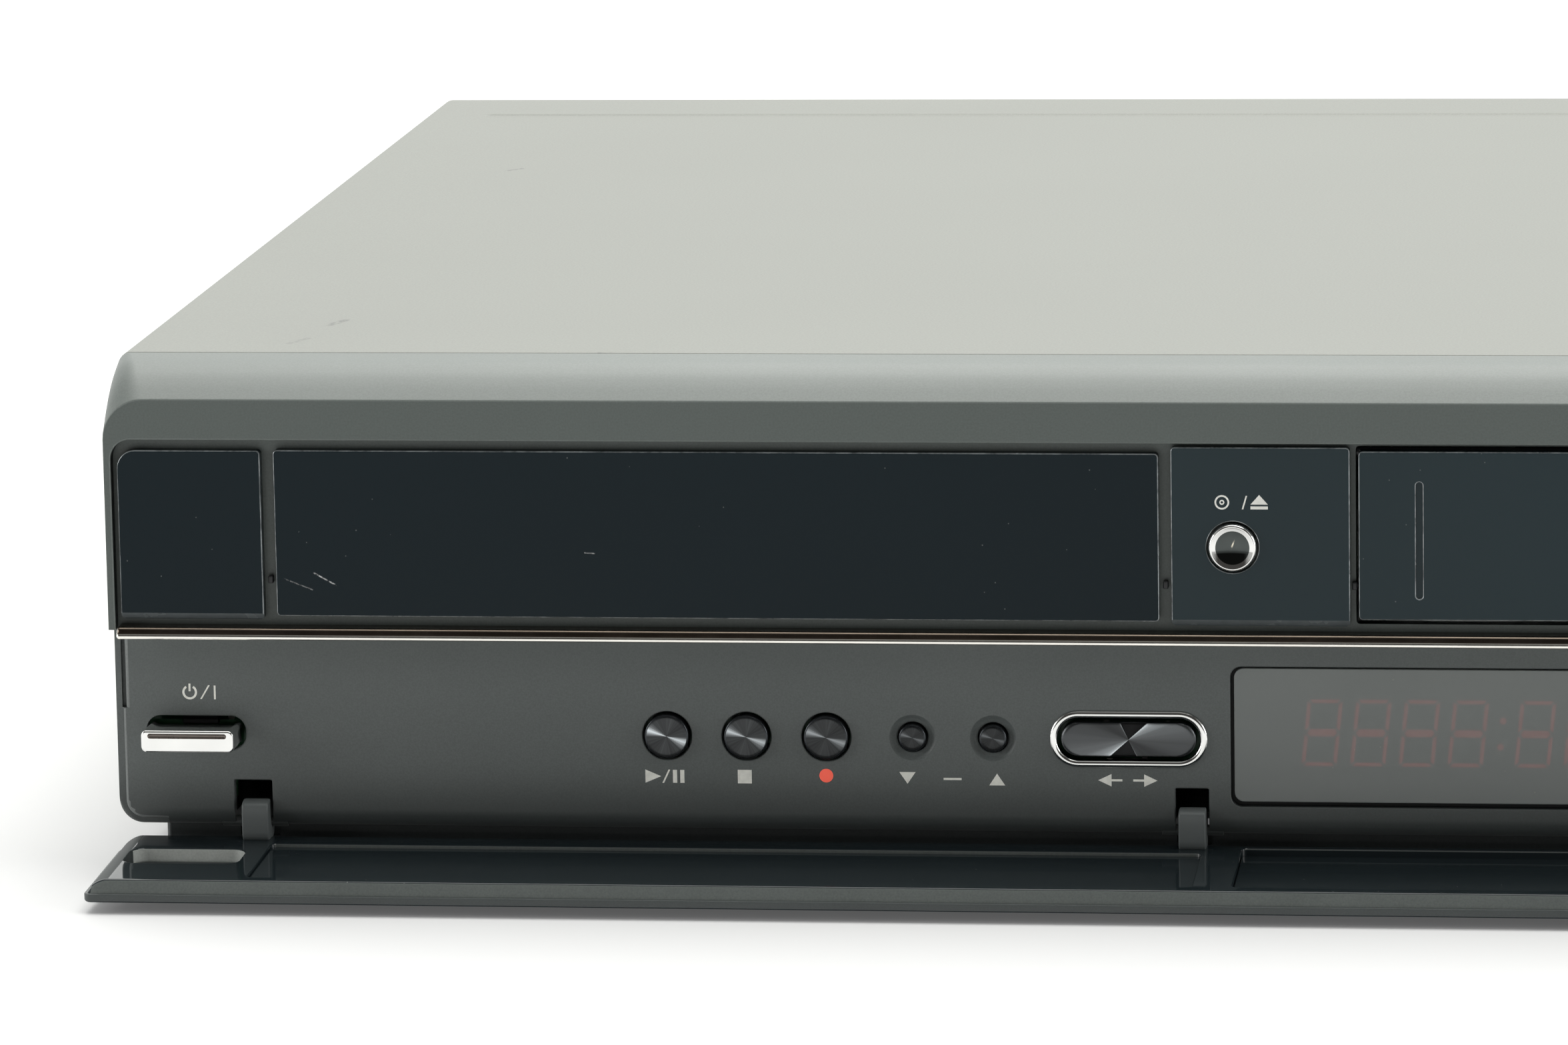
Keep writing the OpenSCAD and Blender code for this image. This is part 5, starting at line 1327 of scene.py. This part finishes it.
def symbols():
    y = 3.3
    px, pz = -202.2, 31.25
    pw = [ring_arc(px, pz, 0.88, 1.25, 122, 418, y), prism(rect(px - 0.17, px + 0.17, pz + 0.15, pz + 1.45), y),
          prism([(px + 1.75, pz - 1.15), (px + 2.05, pz - 1.15), (px + 3.45, pz + 1.2), (px + 3.15, pz + 1.2)], y),
          prism(rect(px + 4.1, px + 4.42, pz - 1.2, pz + 1.15), y)]
    x, z = -122.2, 17.6
    pw += [prism([(x - 3.28, z - 1.13), (x - 0.62, z), (x - 3.28, z + 1.13)], y),
           prism([(x - 0.45, z - 1.13), (x - 0.15, z - 1.13), (x + 0.92, z + 1.13), (x + 0.62, z + 1.13)], y),
           prism(rect(x + 1.35, x + 2.05, z - 1.1, z + 1.1), y), prism(rect(x + 2.58, x + 3.28, z - 1.1, z + 1.1), y)]
    pw.append(prism(rect(-109.97, -107.63, 16.5, 18.8), y))
    pw.append(prism([(-82.95, 18.68), (-81.6, 16.7), (-80.25, 18.68)], y))
    pw.append(prism([(-68.0, 16.55), (-65.35, 16.55), (-66.68, 18.55)], y))
    # between them a plain dash, and under the long button a pair of arrows
    pw.append(prism(rect(-75.6, -72.6, 17.4, 17.75), y))
    pw += [prism([(-49.9, 17.6), (-47.7, 16.55), (-47.7, 18.65)], y), prism(rect(-47.7, -45.9, 17.42, 17.78), y),
           prism([(-40.1, 17.6), (-42.3, 16.55), (-42.3, 18.65)], y), prism(rect(-44.1, -42.3, 17.42, 17.78), y)]
    for k, (sx, lab) in enumerate(((112, 1), (126, 2), (140, 3))):
        pw.append(ring_arc(sx, 33.4, 0.65, 0.95, 0, 360, y, 28))
    piece("fascia_print", merge(*pw), [print_mat], "casing", "white_plastic", wn=False)
    piece("record_dot", stack(circ(-95.15, 17.95, 1.15, 40), [(y - 0.03, 0), (y + 0.01, 0)]), [red_print_glow],
          "casing", "white_plastic", wn=False)
    y = 0.3
    ej = []
    for cx in (-22.8, 205.1):
        ej += [prism([(cx - 1.42, 64.55), (cx + 1.42, 64.55), (cx, 66.15)], y), prism(rect(cx - 1.42, cx + 1.42, 63.75, 64.25), y)]
        ej.append(prism([(cx - 2.85, 63.75), (cx - 2.6, 63.75), (cx - 1.95, 66.0), (cx - 2.2, 66.0)], y))
    ej += [ring_arc(-28.9, 64.9, 0.92, 1.2, 0, 360, y), ring_arc(-28.9, 64.9, 0.2, 0.42, 0, 360, y, 20)]
    ej += [ring_arc(198.0, 64.95, 0.28, 0.5, 0, 360, y, 20), ring_arc(200.3, 64.95, 0.28, 0.5, 0, 360, y, 20)]
    fr = rr(196.6, 201.7, 63.8, 66.1, 0.35, 4)
    V, F = [], []
    oo, ii = fr(0), fr(-0.26)
    m = len(oo)
    for d in (y - 0.03, y + 0.01):
        V += [(u, d, w) for u, w in oo] + [(u, d, w) for u, w in ii]
    for i in range(m):
        j = (i + 1) % m
        F += [(i, j, m + j, m + i), (2 * m + i, 3 * m + i, 3 * m + j, 2 * m + j), (i, 2 * m + i, 2 * m + j, j),
              (m + i, m + j, 3 * m + j, 3 * m + i)]
    ej.append((V, F))
    piece("plate_print", merge(*ej), [print_dim], "casing", "white_plastic", wn=False)


symbols()


# --------------------------------------------------------------------------
# feet
# --------------------------------------------------------------------------
feet = [lathe(x, y, [(0, 0.8), (4.8, 0.8), (5.0, 0.6), (5.1, 0.25), (5.4, 0.03), (9.0, 0.0), (9.4, 0.12), (9.6, 0.45),
                     (9.65, 0.9), (9.9, 1.0), (10.6, 1.05), (10.9, 1.25), (11.0, 1.6), (11.0, 8.1), (10.9, 8.4), (10.7, 8.5), (0, 8.5)],
              56, "z") for x in (-182, 182) for y in (46, 312)]
piece("foot_set", merge(*feet), [rubber_mat, pin_mat], "casing", "foot_rubber", ("feet",), sharp=35,
      rule=lambda x, y, z, n: 1 if z > 1.3 and abs(n.z) < 0.5 and min(abs(math.hypot(abs(x) - 182, y - c) - 11) for c in (46, 312)) < 0.3 else 0)


# --------------------------------------------------------------------------
# everything else keeps the CAD shape, with softened edges and real finishes
# --------------------------------------------------------------------------
def av_rule(x, y, z, n):
    if y < 20:                                          # front sockets
        for k, sx in enumerate((112, 126, 140)):
            r = math.hypot(x - sx, z - 24.5)
            if r < 5.2:
                return (1, 2, 3)[k] if 1.8 < r < 4.3 and y < 3.6 and n.y < 0.2 else 0
        return 6 if math.hypot(x - 156, z - 24.5) < 1.4 else 0
    if y > 344.0:
        for c in range(4):
            for r in range(3):
                d = math.hypot(x + 150 - c * 16, z - 28 - r * 18)
                if d < 5.2:
                    cols = ((3, 2, 1, 3), (2, 5, 4, 2), (1, 3, 2, 1))
                    return cols[r][c] if n.y > 0.5 and (y > 353 or 344.5 < y < 346.2) else 6
        for sx in (-190, -172):
            if math.hypot(x - sx, z - 62) < 5.5:
                return 6
        if x > -84.5 and x < -36 and y > 345:
            return 6
    return 0


clone("av_sockets", [socket_body, jack_yellow, jack_white, jack_red, jack_green, jack_blue, pin_mat], "socket_plastic",
      av_rule, 0.12)
clone("rear_panel", [steel_mat], "bare_steel", None, 0.1)
clone("chassis_pan", [steel_mat], "bare_steel", None, 0.1)
clone("casing_screws", [screw_mat], "screw_black", None, 0.08)
clone("door_hinge_pins", [pin_dark], "pin_steel", None, 0.1)
clone("disc_tray", [mech_mat], "mech_plastic", None, 0.3)
clone("drive_chassis", [mech_mat], "mech_plastic", None, 0.2)
clone("clamp_bridge", [steel_mat], "bare_steel", None, 0.15)
clone("clamp_puck", [white_mat], "white_plastic", None, 0.25)
clone("pickup_base", [steel_mat], "bare_steel", None, 0.15)
clone("sled_rods", [pin_mat], "pin_steel", None, 0.15)
lens_mat = Mat("pickup_lens", (70, 84, 120), rough=0.05, spec=0.7, coat=0.6)
lens_mat.mottle(0.1, 800, 2)
clone("pickup_sled", [alloy_mat, mech_mat, lens_mat], "drum_alloy",
      lambda x, y, z, n: 2 if z > 48.7 and math.hypot(x - DX, y - 106) < 2.6 else 1 if z > 48.55 and math.hypot(x - DX, y - 106) < 4.4 else 0, 0.15)
clone("sled_gear", [white_mat], "white_plastic", None, 0.06)
clone("spindle_motor", [steel_mat], "bare_steel", None, 0.2)
clone("turntable", [mech_mat, rubber_mat], "mech_plastic",
      lambda x, y, z, n: 1 if 52.75 < z < 53.45 else 0, 0.15)
clone("loading_motor", [steel_mat, white_mat], "bare_steel", lambda x, y, z, n: 1 if z > 44.4 else 0, 0.15)
clone("loading_gear", [white_mat], "white_plastic", None, 0.08)
clone("loading_belt", [rubber_mat], "foot_rubber", None, 0.12)
clone("cam_slider", [white_mat], "white_plastic", None, 0.2)
clone("deck_plate", [steel_mat], "bare_steel", None, 0.15)
clone("cassette_holder", [steel_mat], "bare_steel", None, 0.15)
clone("lower_drum", [alloy_mat], "drum_alloy", None, 0.2)
clone("upper_drum", [alloy_mat], "drum_alloy", None, 0.2)
clone("capstan", [pin_mat], "pin_steel", None, 0.2)
clone("pinch_arm", [steel_mat, rubber_mat], "foot_rubber",
      lambda x, y, z, n: 1 if z > 28.2 and math.hypot(x - 153.8, y - 181.3) < 6.4 and math.hypot(x - 153.8, y - 181.3) > 1.9 else 0, 0.15)
clone("supply_reel", [mech_mat], "mech_plastic", None, 0.2)
clone("takeup_reel", [mech_mat], "mech_plastic", None, 0.2)
guide_rule = lambda x, y, z, n: 1 if 25.8 < z < 44.2 else 0
clone("left_guide", [pin_mat, alloy_mat], "pin_steel", guide_rule, 0.15)
clone("right_guide", [pin_mat, alloy_mat], "pin_steel", guide_rule, 0.15)
clone("tape_heads", [pin_mat], "pin_steel", None, 0.2)
clone("deck_motor", [mech_mat, white_mat], "mech_plastic", lambda x, y, z, n: 1 if x > 40.2 and z > 25 else 0, 0.2)
clone("main_board", [green_mat, black_part, can_mat, pin_mat, steel_mat], "green_board",
      lambda x, y, z, n: 0 if z < 19.65 else (4 if z > 28.4 else 2) if (abs(y - 300) < 3.4 and x < -130) or (abs(x + 40) < 3 and 246 < y < 290) else
      3 if (x < -160 and 234 < y < 268) else 1, 0.12)
clone("power_board", [brown_mat, black_part, can_mat, yellow_part, steel_mat, copper_mat], "brown_board",
      lambda x, y, z, n: 0 if z < 15.7 else 3 if -146 < x < -118 and 112 < y < 158 and z < 30.1 and not 119.9 < y < 150.1 else
      5 if -151 < x < -113 and 119 < y < 151 else 4 if -97 < x < -49 and 109 < y < 121 else
      2 if (x < -170 and y > 125) or y > 170 else 1, 0.15)
clone("display_board", [green_mat, black_part], "green_board", lambda x, y, z, n: 1 if y < 8.45 else 0, 0.1)
clone("display_module", [glass_mat], "display_glass", None, 0.2)
clone("fan_frame", [mech_mat], "mech_plastic", None, 0.2)
clone("fan_rotor", [mech_mat], "mech_plastic", None, 0.15)
clone("mains_inlet", [socket_body, pin_mat], "mech_plastic",
      lambda x, y, z, n: 1 if (math.hypot(x - 179, z - 33) < 1.3 or math.hypot(x - 187, z - 33) < 1.3) and y < 343.5 else 0, 0.2)


# --------------------------------------------------------------------------
# floor, light, camera
# --------------------------------------------------------------------------
floor_mat = Mat("floor", (220, 220, 221), rough=0.7, spec=0.1)
floor_mat.mottle(0.01, 2, 2)
floor_mat.glow((255, 255, 255), 0.09)
me = bpy.data.meshes.new("floor")
me.from_pydata([(-6, -6, 0), (6, -6, 0), (6, 6, 0), (-6, 6, 0)], [], [(0, 1, 2, 3)])
floor = bpy.data.objects.new("floor", me)
me.materials.append(floor_mat.m)
SCN.collection.objects.link(floor)


def world():
    w = bpy.data.worlds.new("studio")
    SCN.world = w
    w.use_nodes = True
    nt = w.node_tree
    bg = next(n for n in nt.nodes if n.type == "BACKGROUND")
    tc = nt.nodes.new("ShaderNodeTexCoord")
    sep = nt.nodes.new("ShaderNodeSeparateXYZ")
    nt.links.new(tc.outputs["Generated"], sep.inputs[0])

    def mr(src, a, b, c, d):
        n = nt.nodes.new("ShaderNodeMapRange")
        n.interpolation_type = "SMOOTHSTEP"
        nt.links.new(src, n.inputs["Value"])
        for k, v in zip(("From Min", "From Max", "To Min", "To Max"), (a, b, c, d)):
            n.inputs[k].default_value = v
        return n.outputs["Result"]

    def mul(a, b):
        n = nt.nodes.new("ShaderNodeMath")
        n.operation = "MULTIPLY"
        for k, v in enumerate((a, b)):
            if isinstance(v, (int, float)):
                n.inputs[k].default_value = v
            else:
                nt.links.new(v, n.inputs[k])
        return n.outputs[0]
    ab = nt.nodes.new("ShaderNodeMath")
    ab.operation = "ABSOLUTE"
    nt.links.new(sep.outputs["X"], ab.inputs[0])
    front = mr(sep.outputs["Y"], 0.10, -0.35, 0, 1)
    low = mr(sep.outputs["Z"], 0.0, 0.10, 0, 1)
    high = mr(sep.outputs["Z"], 0.72, 0.95, 1, 0)
    side = mr(ab.outputs[0], 0.55, 0.80, 1, 0)
    dark = mul(mul(front, low), mul(high, side))
    mix = nt.nodes.new("ShaderNodeMix")
    mix.data_type = "RGBA"
    nt.links.new(dark, mix.inputs[0])
    mix.inputs[6].default_value = (0.93, 0.94, 0.92, 1)
    mix.inputs[7].default_value = (0.10, 0.095, 0.09, 1)
    back = mr(sep.outputs["Y"], 0.25, 0.75, 1.0, 2.5)
    sc = nt.nodes.new("ShaderNodeVectorMath")
    sc.operation = "SCALE"
    nt.links.new(mix.outputs[2], sc.inputs[0])
    nt.links.new(back, sc.inputs["Scale"])
    nt.links.new(sc.outputs[0], bg.inputs["Color"])
    bg.inputs["Strength"].default_value = 0.6
    plain = nt.nodes.new("ShaderNodeBackground")
    plain.inputs["Color"].default_value = (1, 1, 1, 1)
    plain.inputs["Strength"].default_value = 1.0
    lp = nt.nodes.new("ShaderNodeLightPath")
    ms = nt.nodes.new("ShaderNodeMixShader")
    out = next(n for n in nt.nodes if n.type == "OUTPUT_WORLD")
    nt.links.new(lp.outputs["Is Camera Ray"], ms.inputs[0])
    nt.links.new(bg.outputs[0], ms.inputs[1])
    nt.links.new(plain.outputs[0], ms.inputs[2])
    nt.links.new(ms.outputs[0], out.inputs["Surface"])


world()


def area(name, loc, look, sx, sy, power, col=(1, 1, 1)):
    d = bpy.data.lights.new(name, "AREA")
    d.shape, d.size, d.size_y, d.energy, d.color = "RECTANGLE", sx, sy, power, col
    o = bpy.data.objects.new(name, d)
    SCN.collection.objects.link(o)
    o.location = loc
    o.rotation_mode = "QUATERNION"
    o.rotation_quaternion = (Vector(look) - Vector(loc)).to_track_quat("-Z", "Y")
    return o


area("key_top", (0.2, 0.55, 2.0), (0, 0.1, 0), 2.6, 2.6, 74, (1.0, 1.0, 0.965))
area("side_left", (-1.7, -0.75, 0.42), (0, -0.16, 0.05), 0.5, 0.75, 7)
area("side_right", (1.7, -0.55, 0.45), (0, -0.16, 0.05), 0.5, 0.8, 7)

cam_data = bpy.data.cameras.new("camera")
cam = bpy.data.objects.new("camera", cam_data)
SCN.collection.objects.link(cam)
SCN.camera = cam
cam_data.sensor_width = 36
cam_data.lens = 12001.2 * 36 / 2352
cam_data.clip_start, cam_data.clip_end = 0.05, 60
yaw, tilt, roll = -0.1263, 0.1794, -0.0175
fwd = Vector((math.sin(yaw) * math.cos(tilt), math.cos(yaw) * math.cos(tilt), -math.sin(tilt)))
right0 = Vector((math.cos(yaw), -math.sin(yaw), 0))
up0 = right0.cross(fwd)
right = right0 * math.cos(roll) + up0 * math.sin(roll)
up = -right0 * math.sin(roll) + up0 * math.cos(roll)
m = Matrix((right, up, -fwd)).transposed().to_4x4()
m.translation = Vector((0.0622187, -1.4496261, 0.2963092))
cam.matrix_world = m

SCN.view_settings.view_transform = "Standard"
SCN.view_settings.look = "None"
SCN.view_settings.exposure = 0.0
SCN.view_settings.gamma = 1.0
